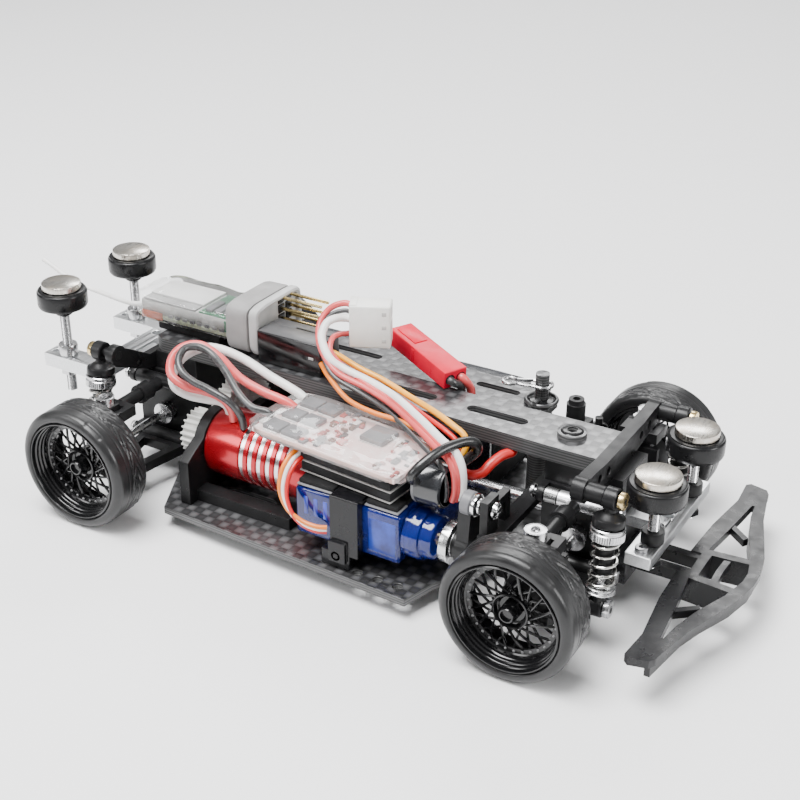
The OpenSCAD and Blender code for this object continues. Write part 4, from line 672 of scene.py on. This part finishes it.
p.cyl((0.2, -20.5, 13), (19, -20.5, 13), 4.0, "steel_dark", 40)
p.box(0.5, 19, -15.5, -7.6, 9.2, 16.6, "blue_core", 0.3)
p.lathe([(0, 21.6), (3.9, 21.6), (3.9, 22.4), (2.4, 22.4), (2.4, 24.0), (3.4, 24.0), (3.4, 24.6), (0, 24.6)], (0, -21, 13), (1, 0, 0), "white_plastic", 30)
p.cyl((27, -21, 13), (31.5, -21, 13), 1.5, "brass", 28)
p.make("chassis", "blue_case")
p = Piece("servo_top_sticker")
p.box(-0.6, 20.2, -25.4, -8.4, 18.02, 18.4, "foam", 0.2)
for a, b in ((-1.0, 7.2), (13.6, 20.6)):
    p.box(a, b, -25.8, -22.2, 18.3, 18.62, "label_grey", 0.12)
    p.box(a + 0.2, b - 0.3, -25.5, -22.3, 18.6, 19.5, "foam", 0.25)
# three ribs on the servo's near side in the brighter blue: painted glow of light through the case
for k in range(3):
    p.box(0.6 + 2.1 * k, 1.5 + 2.1 * k, -26.06, -25.9, 12.6, 16.4, "blue_painted_glow", 0.08)
p.box(14.6, 20.2, -26.05, -25.92, 9.4, 16.2, "blue_core", 0.1)
p.make("chassis", "moulded_black")
p = Piece("servo_saver_ring")
p.lathe([(2.7, 28.25), (3.85, 28.25), (4.0, 28.4), (4.0, 28.75), (3.7, 28.9), (3.7, 29.1), (4.0, 29.25), (4.0, 29.6), (3.85, 29.78), (2.7, 29.8)], (0, -21, 13), (1, 0, 0), "steel", 56)
p.make("servo_horn", "steel")
p = Piece("servo_horn_stud")
HZ = 13 + 9.2
p.lathe([(0, 33.2), (2.0, 33.25), (2.1, 33.4), (2.1, 34.0), (1.9, 34.2), (1.45, 34.35), (1.5, 34.7), (1.3, 35.0), (0.74, 35.15), (0.74, 37.02), (1.4, 37.06), (1.6, 37.3), (1.58, 37.65), (1.3, 38.0), (0.8, 38.25), (0, 38.32)], (0, -21, HZ), (1, 0, 0), "chrome", 40)
p.lathe([(1.4, 31.2), (2.1, 31.3), (2.25, 31.5), (2.25, 33.0), (2.05, 33.2)], (0, -21, HZ), (1, 0, 0), "chip_grey", 36)
p.make("servo_horn", "steel")
p = Piece("horn_screw")
p.screw((33.35, -21, 13), (1, 0, 0), 1.9, 1.0, "steel_dark", 0.9)
p.make("servo_horn", "steel")

# ------------------------------------------------------------------ speed controller
RZ = math.radians(-5.5); EC = Vector((4.2, -16.8, 0))
def E(x, y, z): return Vector((EC.x + x * math.cos(RZ) - y * math.sin(RZ), EC.y + x * math.sin(RZ) + y * math.cos(RZ), z))
def ebox(p, x0, x1, y0, y1, z0, z1, mat, bev=0.15):
    p.box(EC.x + x0, EC.x + x1, EC.y + y0, EC.y + y1, z0, z1, mat, bev, 2, (0, 0, -5.5), (EC.x, EC.y, 0))
p = Piece("esc_board_mesh")
ebox(p, -16.4, 16.6, -7.8, 7.8, 24.7, 25.6, "esc_board", 0.12)
p.make("chassis", "clear_sleeve", ("esc",))
p = Piece("esc_parts")
for x in (-14.5, -10.1):
    for y in (3.9, -1.5, -6.9):
        ebox(p, x, x + 4.0, y, y + 3.5, 25.6, 26.5, "chip_grey", 0.18)
        ebox(p, x + 0.3, x + 3.7, y - 0.55, y - 0.1, 25.6, 25.85, "solder", 0.08)
        for k in range(3): ebox(p, x + 0.35 + k * 1.15, x + 0.95 + k * 1.15, y + 3.55, y + 4.1, 25.6, 25.85, "solder", 0.06)
ebox(p, 2.8, 8.0, 0.2, 5.6, 25.6, 26.6, "chip_grey", 0.2)
for k in range(8):
    ebox(p, 3.0 + 0.62 * k, 3.3 + 0.62 * k, -0.35, 0.2, 25.6, 25.8, "solder", 0.04); ebox(p, 3.0 + 0.62 * k, 3.3 + 0.62 * k, 5.6, 6.15, 25.6, 25.8, "solder", 0.04)
rnd = random.Random(4)
for i in range(64):
    x = rnd.uniform(-5.2, 1.8) if i < 40 else rnd.uniform(9.2, 15.8); y = rnd.uniform(-7.0, 7.0)
    m = rnd.choice(["part_red", "part_red", "lead_brown", "part_dark", "solder", "chip_grey"]); w = rnd.uniform(0.3, 0.65); u = rnd.choice((0.55, 1.6))
    ebox(p, x - w, x + w, y - w * u, y + w * u, 25.6, 25.6 + rnd.uniform(0.3, 0.6), m, 0.06)
for k in range(3): ebox(p, -16.4, -15.0, -5.8 + 4.6 * k, -3.6 + 4.6 * k, 25.6, 26.1, "solder", 0.2)
ebox(p, -15.8, 16.2, -7.9, -7.65, 24.75, 25.55, "board_edge", 0.08)
p.make("chassis", "clear_sleeve")
def sleeve(name, x0, x1, y0, y1, z0, z1, mat, T=lambda v: v, wrinkle=0.18, seed=0, slot="clear_sleeve", ends=True):
    """shrunk film: a rounded tube of film that follows the box, with creases and drawn-in ends"""
    nx, nn = 40, 56; V = []; F = []
    cy, cz, hy, hz = (y0 + y1) / 2, (z0 + z1) / 2, (y1 - y0) / 2, (z1 - z0) / 2
    for i in range(nx + 1):
        t = i / nx; x = x0 + (x1 - x0) * t
        e = min(t, 1 - t); shrink = 1 - 0.16 * math.exp(-(e * 16) ** 2)
        for k in range(nn):
            w = 2 * math.pi * k / nn; cs, sn = math.cos(w), math.sin(w); ex = 0.34
            yy = hy * math.copysign(abs(cs) ** ex, cs); zz = hz * math.copysign(abs(sn) ** ex, sn)
            q = noise3(x * 0.16 + seed, yy * 0.3, zz * 0.5) * wrinkle + 0.6 * wrinkle * noise3(x * 0.5 + seed, yy * 0.8, zz)
            V.append(T(Vector((x, cy + yy * (shrink + q * 0.04), cz + zz * shrink + q * 0.7))))
    for i in range(nx):
        for k in range(nn): k2 = (k + 1) % nn; F.append([i * nn + k, i * nn + k2, (i + 1) * nn + k2, (i + 1) * nn + k])
    s = Piece(name); s.add(V, F, mat); return s.make("chassis", slot)
from mathutils import noise as _n
def noise3(x, y, z): return _n.noise(Vector((x, y, z)))
sleeve("esc_sleeve", -17.4, 17.4, -8.7, 8.7, 24.3, 27.0, "clear_sleeve", T=lambda v: E(v.x, v.y, v.z), wrinkle=0.3)
p = Piece("esc_foam")
ebox(p, -5.4, 15.2, -7, 6.6, 22.3, 24.4, "foam", 0.3)
ebox(p, -5.6, 15.3, -7.12, 6.6, 22.0, 22.24, "tape_edge", 0.08)
ebox(p, -5.4, 15.1, -6.9, 6.6, 19.9, 22.0, "foam", 0.35)
ebox(p, -5.5, 15.2, -7.05, 6.6, 19.76, 19.98, "tape_edge", 0.08)
ebox(p, -5.4, 15.2, -2.2, 6.6, 18.1, 19.8, "foam", 0.3)
p.make("chassis", "moulded_black")
p = Piece("esc_capacitor")
cc = (0, -18.6, 22.5)
p.lathe([(0, 21.2), (3.9, 21.2), (4.15, 21.3), (4.25, 21.5), (4.25, 21.9)], cc, (1, 0, 0), "label_grey", 56)
p.lathe([(4.25, 21.9), (4.2, 22.0), (4.2, 26.2), (4.12, 26.6), (3.9, 26.9), (3.65, 27.0), (3.5, 26.95)], cc, (1, 0, 0), "cap_sleeve", 56)
p.lathe([(3.5, 26.95), (3.35, 26.8), (3.2, 26.78), (1.2, 26.9), (0, 26.9)], cc, (1, 0, 0), "cap_end", 56)
for a in (20, 80, 140):
    u = Vector((0, math.cos(math.radians(a)), math.sin(math.radians(a))))
    p.tube([Vector((26.93, -18.6, 22.5)) - u * 2.6, Vector((26.97, -18.6, 22.5)), Vector((26.93, -18.6, 22.5)) + u * 2.6], 0.09, "cap_end", 6, 3)
p.make("chassis", "battery_wrap")

# ------------------------------------------------------------------ receiver
p = Piece("receiver_board")
p.box(-56.4, -31.6, -2.5, 8.8, 31.0, 31.7, "pcb_edge", 0.1)
p.box(-56.0, -32.5, -2.1, 8.4, 31.7, 34.6, "rx_case", 0.35)
p.box(-55.4, -41.6, 0.6, 8.3, 34.6, 35.2, "label_pale", 0.12)
p.box(-55.2, -41.8, -2.1, 0.4, 34.6, 34.95, "rx_stripe", 0.1)
p.box(-41.0, -33.2, -2.0, 8.2, 34.5, 34.8, "pcb_green", 0.1)
for i in range(3): p.box(-39.8 + 2.3 * i, -38.2 + 2.3 * i, -1.2, 3.6, 34.8, 35.5, "chip_grey", 0.12)
p.box(-34.4, -32.6, -2.3, -0.6, 31.8, 34.2, "pcb_green", 0.1)
p.box(-55.6, -50.2, -2.75, -2.3, 30.7, 32.4, "orange_tab", 0.2)
for i in range(8): p.box(-48.6 + 1.9 * i, -47.5 + 1.9 * i, -2.75, -2.3, 31.9, 32.5, "chip_grey" if i % 2 else "rx_stripe", 0.08)
p.make("chassis", "clear_sleeve", ("receiver",))
sleeve("receiver_sleeve", -57.2, -30.6, -3.3, 9.5, 30.2, 36.4, "clear_sleeve_rx", wrinkle=0.45, seed=3)
p = Piece("receiver_pad"); p.box(-52, -36, -2, 5, 28.5, 30.3, "foam", 0.4); p.make("chassis", "moulded_black")
# soft band: a rounded loop round the receiver's end
p = Piece("receiver_band")
def loop(p, x0, x1, cy, cz, hy, hz, rad, th, mat, emat):
    nn = 72; out = []; 
    for k in range(nn):
        w = 2 * math.pi * (k + 0.5) / nn; cs, sn = math.cos(w), math.sin(w)
        out.append((cs, sn))
    def shape(h1, h2, c): return (h1 * math.copysign(abs(c[0]) ** 0.42, c[0]), h2 * math.copysign(abs(c[1]) ** 0.42, c[1]))
    rows = [(x0 + 0.25, hy, hz), (x0, hy - 0.25, hz - 0.25), (x0, hy - th, hz - th), (x1, hy - th, hz - th), (x1, hy - 0.25, hz - 0.25), (x1 - 0.25, hy, hz)]
    V = []; F = []
    for (x, a, b) in rows:
        for c in out: y, z = shape(a, b, c); V.append((x, cy + y, cz + z))
    for i in range(6):
        j = (i + 1) % 6
        for k in range(nn): k2 = (k + 1) % nn; F.append([i * nn + k, i * nn + k2, j * nn + k2, j * nn + k])
    p.add(V[:], [f for i, f in enumerate(F) if i // nn == 5], mat)
    p.add(V[:], [f for i, f in enumerate(F) if i // nn != 5], emat)
def band(p, rows, cy, cz, mat, e=0.5, nn=96):
    """closed loop of soft band; rows give (x, half width, half height) round its cross-section"""
    V = []; F = []
    for (x, a, b) in rows:
        for k in range(nn):
            w = 2 * math.pi * (k + 0.5) / nn; cs, sn = math.cos(w), math.sin(w)
            q = 1 + 0.012 * noise3(cs * 2, sn * 2, x * 0.4)
            V.append((x + 0.25 * noise3(cs * 1.5, sn * 1.5, 5.0), cy + a * q * math.copysign(abs(cs) ** e, cs), cz + b * q * math.copysign(abs(sn) ** e, sn)))
    L = len(rows)
    for i in range(L):
        j = (i + 1) % L
        for k in range(nn): k2 = (k + 1) % nn; F.append([i * nn + k, i * nn + k2, j * nn + k2, j * nn + k])
    p.add(V, F, mat)
band(p, [(-32.4, 7.4, 4.75), (-32.2, 7.75, 5.1), (-31.6, 7.9, 5.22), (-27.6, 7.92, 5.26), (-27.1, 7.8, 5.15), (-26.95, 7.5, 4.85), (-27.0, 6.9, 4.3), (-32.2, 6.9, 4.3)], 3.6, 34.3, "grey_band", 0.32)
band(p, [(-26.6, 7.3, 4.7), (-26.5, 7.75, 5.15), (-26.2, 7.95, 5.35), (-25.2, 8.0, 5.4), (-24.7, 7.8, 5.2), (-24.5, 7.4, 4.8), (-24.7, 7.0, 4.4), (-26.4, 6.9, 4.3)], 3.6, 34.4, "band_edge", 0.3)
p.box(-27.6, -25.4, -3.2, 10.6, 30.0, 38.6, "rx_end", 0.4)
p.make("chassis", "moulded_black", ("receiver_plugs",))
p = Piece("servo_plugs")
p.box(-24.6, -9.7, -4.35, 0.5, 28.65, 35.3, "plug_gloss", 0.22, 3)
# the far plug and the thin cap on top are in the lit grey: painted highlight on the plugs' top faces
p.box(-24.6, -10.2, 0.6, 3.35, 28.65, 35.2, "plug_top_painted_highlight", 0.25, 3)
p.box(-24.4, -9.8, -4.15, 0.3, 35.2, 35.42, "plug_top_painted_highlight", 0.1)
p.box(-18.5, -10.4, 0.3, 0.85, 35.0, 35.46, "chip_black", 0.1)
p.box(-12.4, -11.2, -4.5, -4.3, 32.0, 32.5, "tape_edge", 0.1)
for k, z in enumerate((30.0, 32.5, 34.3)): p.box(-9.9, -9.62, -4.1, -2.6, z - 0.75, z + 0.75, "chip_black", 0.1)
p.make("chassis", "moulded_black")
p = Piece("header_pins")
for z in (36.4, 38.8):
    for y in (5.2, 7.74): p.box(-25.6, -15.4, y - 0.3, y + 0.3, z - 0.3, z + 0.3, "gold_pin", 0.16)
for y in (5.2, 7.74): p.box(-25.6, -16.4, y - 0.3, y + 0.3, 34.0, 34.6, "gold_pin", 0.16)
for z in (34.3, 36.4, 38.5):
    for y in (5.2, 7.74): p.box(-25.5, -25.15, y - 1.0, y + 1.0, z - 0.9, z + 0.9, "chip_black", 0.1)
p.make("chassis", "steel")

# ------------------------------------------------------------------ battery and its bar
p = Piece("battery_body")
def roundrect(hy, hz, e, n=40):
    return [(hy * math.copysign(abs(math.cos(2 * math.pi * (k + 0.5) / n)) ** e, math.cos(2 * math.pi * (k + 0.5) / n)), hz * math.copysign(abs(math.sin(2 * math.pi * (k + 0.5) / n)) ** e, math.sin(2 * math.pi * (k + 0.5) / n))) for k in range(n)]
def pillow(p, x0, x1, y0, y1, z0, z1, mat, e=0.28, n=48, rows=24):
    V = []; F = []; cy, cz = (y0 + y1) / 2, (z0 + z1) / 2
    for i in range(rows + 1):
        t = i / rows; x = x0 + (x1 - x0) * t; q = min(1.0, (min(t, 1 - t) * rows / 1.6 + 0.5)); q = 0.93 + 0.07 * min(1, q)
        for a, b in roundrect((y1 - y0) / 2, (z1 - z0) / 2, e, n):
            w = 1 + 0.008 * noise3(x * 0.2, a * 0.3, b * 0.3); V.append((x, cy + a * q * w, cz + b * q * w))
    for i in range(rows):
        for k in range(n): k2 = (k + 1) % n; F.append([i * n + k, i * n + k2, (i + 1) * n + k2, (i + 1) * n + k])
    F.append([k for k in range(n)]); F.append([rows * n + k for k in range(n)]); p.add(V, F, mat)
pillow(p, -31.3, 21.1, 8.7, 17.9, 4.6, 23.5, "battery_wrap")
pillow(p, -31.3, 21.1, 18.1, 27.3, 4.6, 23.5, "battery_wrap")
p.box(-31.5, -30.4, 9.6, 26.4, 5.5, 22.5, "foam", 0.4); p.box(20.2, 21.3, 9.6, 26.4, 5.5, 22.5, "foam", 0.4)
p.make("chassis", "battery_wrap", ("battery_pack",))
paint("battery_bar", "carbon_deck", 0.1)
p = Piece("bar_posts")
for x, y in ((29.6, 13.3), (-34.2, 14.3)):
    p.lathe([(0, 26.05), (2.2, 26.05), (2.3, 26.2), (2.3, 26.7), (1.4, 26.9), (1.35, 27.1), (1.35, 31.0), (1.2, 31.9), (0.9, 32.15), (0, 32.2)], (x, y, 0), (0, 0, 1), "black_gloss", 32)
p.make("chassis", "moulded_black")
p = Piece("bar_clips")
def clip(p, c, a0, s=1.0):
    """bent-wire body clip: a ring round the post, two legs and a loop"""
    c = Vector(c); pts = []
    def q(u, v, w=0): a = math.radians(a0); pts.append(c + Vector((u * math.cos(a) - v * math.sin(a), u * math.sin(a) + v * math.cos(a), w)))
    for u, v, w in ((4.9, -1.0, 0.5), (3.4, -1.3, 0.3), (1.9, -1.9, 0.1)): q(u * s, v * s, w)
    for i in range(9): t = math.radians(-60 - 30 * i); q(1.95 * s * math.cos(t), 1.95 * s * math.sin(t), 0.05 * i)
    for u, v, w in ((1.8, 1.4, 0.45), (3.4, 1.25, 0.5), (4.9, 0.9, 0.7)): q(u * s, v * s, w)
    for i in range(7): t = math.radians(120 - 45 * i); q((6.2 + 1.35 * math.cos(t)) * s, 1.35 * math.sin(t) * s, 0.7)
    p.tube(pts, 0.36, "steel", 10, 5)
clip(p, (29.6, 13.3, 29.6), 205); clip(p, (-34.2, 14.3, 29.6), 0)
p.make("chassis", "steel")

# ------------------------------------------------------------------ plugs
def place(name, c, rot, build, slot, replaces=(), body="chassis"):
    """build works round its own origin; the piece is then turned and put at c"""
    p = Piece(name); build(p)
    R = Euler([math.radians(a) for a in rot]).to_matrix()
    p.v = [Vector(c) + R @ v for v in p.v]
    return p.make(body, slot, replaces)
def bal(p):
    p.box(-4.05, 4.05, -2.4, 2.4, -4.5, 4.4, "white_plastic", 0.4, 3)
    p.box(-4.05, -2.6, -2.2, 2.2, 4.2, 4.55, "white_plastic", 0.2)
    p.box(-2.4, 3.4, 2.3, 3.0, -2.6, 2.8, "white_plastic", 0.2)
    for z in (-2.85, -0.05, 2.75):
        p.box(2.3, 3.2, -2.43, -2.3, z - 0.42, z + 0.42, "window_grey", 0.06)
        p.box(-4.1, -3.95, -1.2, 1.2, z - 1.0, z + 1.0, "window_grey", 0.1)
        p.box(3.95, 4.09, -1.3, 1.3, z - 0.95, z + 0.95, "window_grey", 0.1)
place("balance_plug_mesh", (-3.2, 4, 38.8), (0, 0, 26), bal, "white_nylon", ("balance_plug",))
def redp(p):
    p.box(-12.1, 7.4, -2.6, 2.6, -1.8, 1.8, "red_plastic", 0.22, 3)
    p.box(-4.2, -3.2, -2.7, -2.5, -1.3, 1.3, "red_plastic", 0.1)
    p.box(-11.0, -4.6, -1.5, 1.5, 1.7, 2.0, "red_plastic", 0.12)
    for y in (-1.25, 1.25): p.lathe([(1.05, 7.3), (1.05, 7.44), (0, 7.44)], (0, y, 0), (1, 0, 0), "chip_black", 24)
place("power_plug_mesh", (8.06, 9.05, 31.3), (0, 6, -26), redp, "red_plug", ("power_plug",))

# ------------------------------------------------------------------ leads
def bez(name, pts, r, mat, n=12, k=10, replaces=()):
    p = Piece(name); p.tube(pts, r, mat, n, k); return p.make("chassis", "lead_insulation", replaces)
bez("balance_lead_white", [(-6.4, 2.4, 39.4), (-7.6, 1.8, 39.6), (-8.9, 0.2, 39.8), (-9.8, -1.8, 39.2), (-9.4, -4.0, 37.0), (-6.6, -5.6, 34.2), (-3.4, -5.4, 32.6), (2, -5.6, 31.6), (9, -7.4, 30.8), (16.7, -11.2, 29.9), (23.6, -15.6, 29.6), (27.2, -17.2, 29.0), (28.9, -17.8, 26.6), (29.2, -17.9, 22.8), (28.9, -18.2, 20.4)], 0.8, "lead_white", replaces=("wiring",))
bez("balance_lead_red", [(-6.6, 2.9, 42.0), (-8.2, 2.6, 42.3), (-10.2, 1.6, 41.6), (-11.4, 0.4, 40.2), (-11.6, -1.4, 38.4), (-10.2, -3.8, 36.2), (-7.2, -5.8, 33.8), (-3.6, -6.8, 32.0), (2.2, -7.0, 30.8), (9.0, -8.8, 29.9), (16.4, -12.4, 28.9), (23.0, -16.8, 28.6), (26.4, -18.4, 28.0), (28.0, -19.0, 25.6), (28.3, -19.1, 22.2), (27.9, -19.3, 20.2)], 0.62, "lead_pink")
bez("balance_lead_grey", [(-6.6, 2.7, 40.6), (-8.0, 2.2, 40.9), (-9.8, 1.0, 40.4), (-10.8, -0.6, 39.0), (-10.2, -3.4, 36.4), (-7.4, -6.0, 33.4), (-4.0, -7.5, 31.4), (2.0, -8.1, 30.0), (8.4, -9.9, 29.1), (15.2, -13.4, 28.3), (21.6, -17.6, 28.0), (25.2, -19.3, 27.2), (26.8, -20.0, 24.9), (27.2, -20.1, 22.0), (26.9, -20.2, 20.4)], 0.46, "lead_grey")
bez("balance_lead_low", [(-6.4, 2.4, 36.4), (-7.4, 1.9, 36.3), (-8.2, 0, 36.6), (-8.2, -2.2, 36.6), (-7.2, -4.4, 35.2), (-4.8, -4.6, 33.0), (2.2, -6.3, 31.2), (9.2, -8.1, 30.3), (16.6, -11.8, 29.4), (23.4, -16.2, 29.0), (26.8, -17.9, 28.4), (28.4, -18.5, 26.0), (28.7, -18.6, 22.4), (28.4, -18.8, 20.2)], 0.55, "lead_pink")
bez("servo_lead_yellow", [(-9.8, -3.5, 34.6), (-7, -3, 34), (-2.2, -2.4, 32), (3.5, -2.5, 30.8), (10.1, -4.2, 29.9), (17.6, -7.6, 30.1), (22.6, -9.9, 29.8), (25.4, -10.6, 28.8), (26.3, -11.4, 27.1), (25.8, -12.6, 25.2)], 0.6, "lead_yellow")
bez("servo_lead_red", [(-9.8, -3.4, 32.8), (-7.2, -3.4, 32.6), (-2.6, -3.4, 31.2), (3.0, -3.6, 30.2), (9.6, -5.4, 29.3), (16.4, -8.6, 29.2), (21.6, -11.0, 29.0), (24.4, -11.8, 28.0), (25.3, -12.6, 26.4), (24.8, -13.6, 24.9)], 0.5, "lead_red")
bez("servo_lead_brown", [(-9.8, -3.6, 30.4), (-7.2, -4.0, 30.4), (-2.6, -4.6, 30.1), (3.0, -4.6, 29.8), (9.6, -6.4, 29.2), (15.6, -9.2, 28.7), (20.6, -11.8, 28.3), (23.4, -12.8, 27.2), (24.2, -13.8, 25.2)], 0.42, "lead_brown")
bez("edge_lead_orange", [(-9.8, -3.9, 31.6), (-6, -7, 31.0), (0, -10, 29.2), (6.2, -11.2, 28.6), (12.6, -11.5, 28.5), (18.4, -12.8, 28.2), (20.8, -14.2, 27.6), (21.8, -15.6, 26.2)], 0.5, "lead_orange")
bez("power_lead_black", [(22.2, -22.4, 24.2), (22.3, -24.3, 25.8), (22.9, -24.6, 27.0), (24, -23.1, 28.6), (25.7, -19.4, 30), (27.6, -15, 30.1), (28.8, -12.8, 29.2), (28.8, -11.8, 27.4), (27.9, -12, 26.0), (26.4, -13.0, 24.6)], 0.95, "lead_black", 16)
bez("power_lead_red", [(32, -4.2, 25.0), (32.4, -4.9, 24.6), (31.2, -6.6, 24.3), (30.2, -8.8, 23.4), (29.4, -10.5, 22.2), (27.9, -11.4, 21.6), (25.9, -11.3, 21.4), (23.2, -10.2, 21)], 0.95, "lead_red", 16)
bez("plug_lead_grey", [(13.6, 4.9, 30.6), (14.5, 4.5, 30.4), (15.1, 4.9, 29.9), (15.5, 6.3, 29.0), (15.4, 7.2, 27.4), (15.2, 7.5, 24.7)], 0.8, "lead_grey", 14)
bez("plug_lead_pink", [(14.6, 7.2, 30.6), (15.6, 6.9, 30.4), (16.3, 7.2, 29.6), (16.8, 8.0, 28.2), (16.9, 8.4, 26.6), (16.8, 8.4, 24.8)], 0.85, "lead_pink", 14)
bez("motor_lead_white", [(-10.0, -9.4, 26.3), (-11.6, -9.3, 27.0), (-14.2, -9, 27.6), (-18.6, -8.8, 28.7), (-25.4, -7.8, 30.2), (-31.2, -7.8, 31), (-35, -9, 30.8), (-37.4, -12, 29.4), (-37.4, -15.4, 27.4), (-35.4, -17.6, 25.8), (-32, -17.6, 24.8), (-28.6, -16.2, 24.2), (-26.4, -15.0, 23.8), (-25.2, -14.2, 22.6), (-24.9, -13.9, 20.8)], 0.9, "lead_white", 14)
bez("motor_lead_pink", [(-9.4, -13.6, 26.3), (-10.8, -13.7, 27.0), (-13, -14.1, 27.7), (-16.5, -14.4, 28.4), (-22.2, -13.7, 29.5), (-29.2, -10.8, 31), (-33.8, -10.6, 32.4), (-36.6, -12.8, 32.2), (-37, -16, 30.8), (-35, -18.8, 29), (-31.6, -18.8, 27.4), (-28, -17.4, 26.6), (-25.4, -16.8, 26.0), (-23.6, -16.2, 24.6), (-22.9, -15.8, 22.6), (-22.8, -15.6, 20.8)], 0.85, "lead_pink", 14)
bez("motor_lead_grey", [(-11.4, -18.3, 26.0), (-12.6, -18.4, 26.8), (-15.8, -18.8, 27.1), (-19.8, -17.6, 28.6), (-24.8, -14.8, 30.8), (-29.2, -12.9, 32.3), (-32.2, -13.2, 33.4), (-34.0, -15.2, 33.5), (-33.6, -17.9, 32.4), (-31.8, -19.5, 31.0), (-29.2, -19.6, 29.5), (-26.0, -18.8, 28.2), (-21.6, -18.2, 26.4), (-19.6, -17.4, 23.4), (-19.5, -16.8, 20.6)], 0.75, "lead_grey", 14)
for nm, mt, dx, dz, r in (("a", "lead_orange", 0.0, 0.0, 0.45), ("b", "lead_white", 0.75, -0.5, 0.42), ("c", "lead_red", 1.5, -0.95, 0.42)):
    bez("servo_lead_" + nm, [(-2.6 + dx, -22.2, 24.0 + dz), (-3 + dx, -23.2, 23.4 + dz), (-3.2 + dx, -25, 22.9 + dz), (-3.4 + dx, -27, 21 + dz), (-3.2 + dx, -28.2, 17.6 + dz), (-1.4 + dx * 0.8, -28.6, 14.4 + dz), (1.4 + dx * 0.4, -28.4, 12.6 + dz), (4.4, -28.0, 12.0 + dz), (6.2, -27.0, 11.8 + dz)], r, mt)
bez("aerial_wire", [(-55, 2, 33.0), (-57.6, 1.4, 32), (-60, 1, 31.2), (-63.4, 1, 30.9), (-70.4, 1, 31.6), (-75, 1, 32.1), (-80.4, 1, 33.6), (-83.7, 1, 35), (-86.1, 1, 36)], 0.5, "lead_white", 12)

# ------------------------------------------------------------------ screws and small parts
p = Piece("deck_screws")
p.screw((41.9, 0, 28.55), (0, 0, 1), 2.5, 1.1, "black_gloss", 1.1, dome=True)
for x, y in ((61.4, -13.0), (61.4, 13.0), (61.4, -5.2), (61.4, 5.2)): p.screw((x, y, 17.7), (0, 0, 1), 1.15, 0.75, "steel_dark", 0.6)
for s in (-1, 1): p.screw((9, s * 27.9, 7.4), (0, s, 0), 1.2, 0.7, "steel_dark", 0.6) if s < 0 else None
p.make("chassis", "steel")

# ------------------------------------------------------------------ setting: floor, light and camera
def flat_mat(name, col, rough):
    g = G(name); g.set(color=g.mix(g.ramp(g.noise(3, 3), 0.3, 0.7), tuple(c * 0.985 for c in col), col), rough=rough, spec=0.25); return g.m
me = bpy.data.meshes.new("studio_floor"); V = []; F = []
R0 = 3.0; nseg = 24
rows = [(-3.0, 0.0), (1.1, 0.0)] + [(1.1 + 0.8 * math.sin(math.pi / 2 * i / nseg), 0.8 - 0.8 * math.cos(math.pi / 2 * i / nseg)) for i in range(1, nseg + 1)] + [(1.9, 3.0)]
AZ = math.radians(30.442)
for d, h in rows:
    for s in (-4.0, 4.0):
        # the sweep runs up behind the car as the camera sees it
        V.append((-math.sin(AZ) * d + math.cos(AZ) * s, math.cos(AZ) * d + math.sin(AZ) * s, h))
for i in range(len(rows) - 1): F.append((2 * i, 2 * i + 1, 2 * i + 3, 2 * i + 2))
me.from_pydata(V, [], F); me.materials.append(flat_mat("floor_white", (0.86, 0.86, 0.865), 0.6)); me.polygons.foreach_set("use_smooth", [True] * len(me.polygons))
floor = bpy.data.objects.new("studio_floor", me); bpy.context.scene.collection.objects.link(floor)

def area(name, loc, aim, size, power, col=(1, 1, 1)):
    l = bpy.data.lights.new(name, "AREA"); l.shape = "RECTANGLE"; l.size, l.size_y = size; l.energy = power; l.color = col
    o = bpy.data.objects.new(name, l); bpy.context.scene.collection.objects.link(o); o.location = loc
    o.rotation_euler = (Vector(aim) - Vector(loc)).to_track_quat("-Z", "Y").to_euler(); return o
def cam_dir(right, up, back, dist):
    """a place given as right / up / towards-the-camera of the car"""
    r = Vector((math.cos(AZ), math.sin(AZ), 0)); f = Vector((math.sin(AZ), -math.cos(AZ), 0))
    return (r * right + f * back + Vector((0, 0, up))) * dist
area("key", cam_dir(-0.25, 1.0, 0.15, 0.62), (0, 0, 0.02), (0.42, 0.34), 11.5)
area("fill_right", cam_dir(1.0, 0.55, 0.5, 0.65), (0, 0, 0.02), (0.3, 0.3), 4.2)
area("fill_left", cam_dir(-1.0, 0.6, 0.35, 0.7), (0, 0, 0.02), (0.3, 0.3), 2.6)
area("rim_back", cam_dir(0.2, 0.8, -1.0, 0.7), (0, 0, 0.02), (0.5, 0.25), 4.2)
w = bpy.data.worlds.new("studio"); bpy.context.scene.world = w; w.use_nodes = True
wn, wl = w.node_tree.nodes, w.node_tree.links; bg = wn["Background"]
tc = wn.new("ShaderNodeTexCoord"); sx = wn.new("ShaderNodeSeparateXYZ"); mr = wn.new("ShaderNodeMapRange")
wl.new(tc.outputs["Generated"], sx.inputs[0]); wl.new(sx.outputs[2], mr.inputs[0]); wl.new(mr.outputs[0], bg.inputs[1])
mr.inputs[1].default_value = 0.0; mr.inputs[2].default_value = 0.75; mr.inputs[3].default_value = 0.16; mr.inputs[4].default_value = 0.55
bg.inputs[0].default_value = (1, 1, 1, 1)

az, el, roll = math.radians(30.442), math.radians(27.401), math.radians(0.256)
fw = Vector((-math.sin(az) * math.cos(el), math.cos(az) * math.cos(el), -math.sin(el)))
r = fw.cross(Vector((0, 0, 1))).normalized(); u = r.cross(fw)
r2 = math.cos(roll) * r + math.sin(roll) * u; u2 = -math.sin(roll) * r + math.cos(roll) * u
cam = bpy.data.cameras.new("view"); cam.lens = 62.66; cam.sensor_width = 36; cam.clip_start = 0.01; cam.clip_end = 20
co = bpy.data.objects.new("view", cam); bpy.context.scene.collection.objects.link(co)
m = Matrix((r2, u2, -fw)).transposed().to_4x4(); m.translation = W((126.890, -206.108, 149.926)); co.matrix_world = m
bpy.context.scene.camera = co
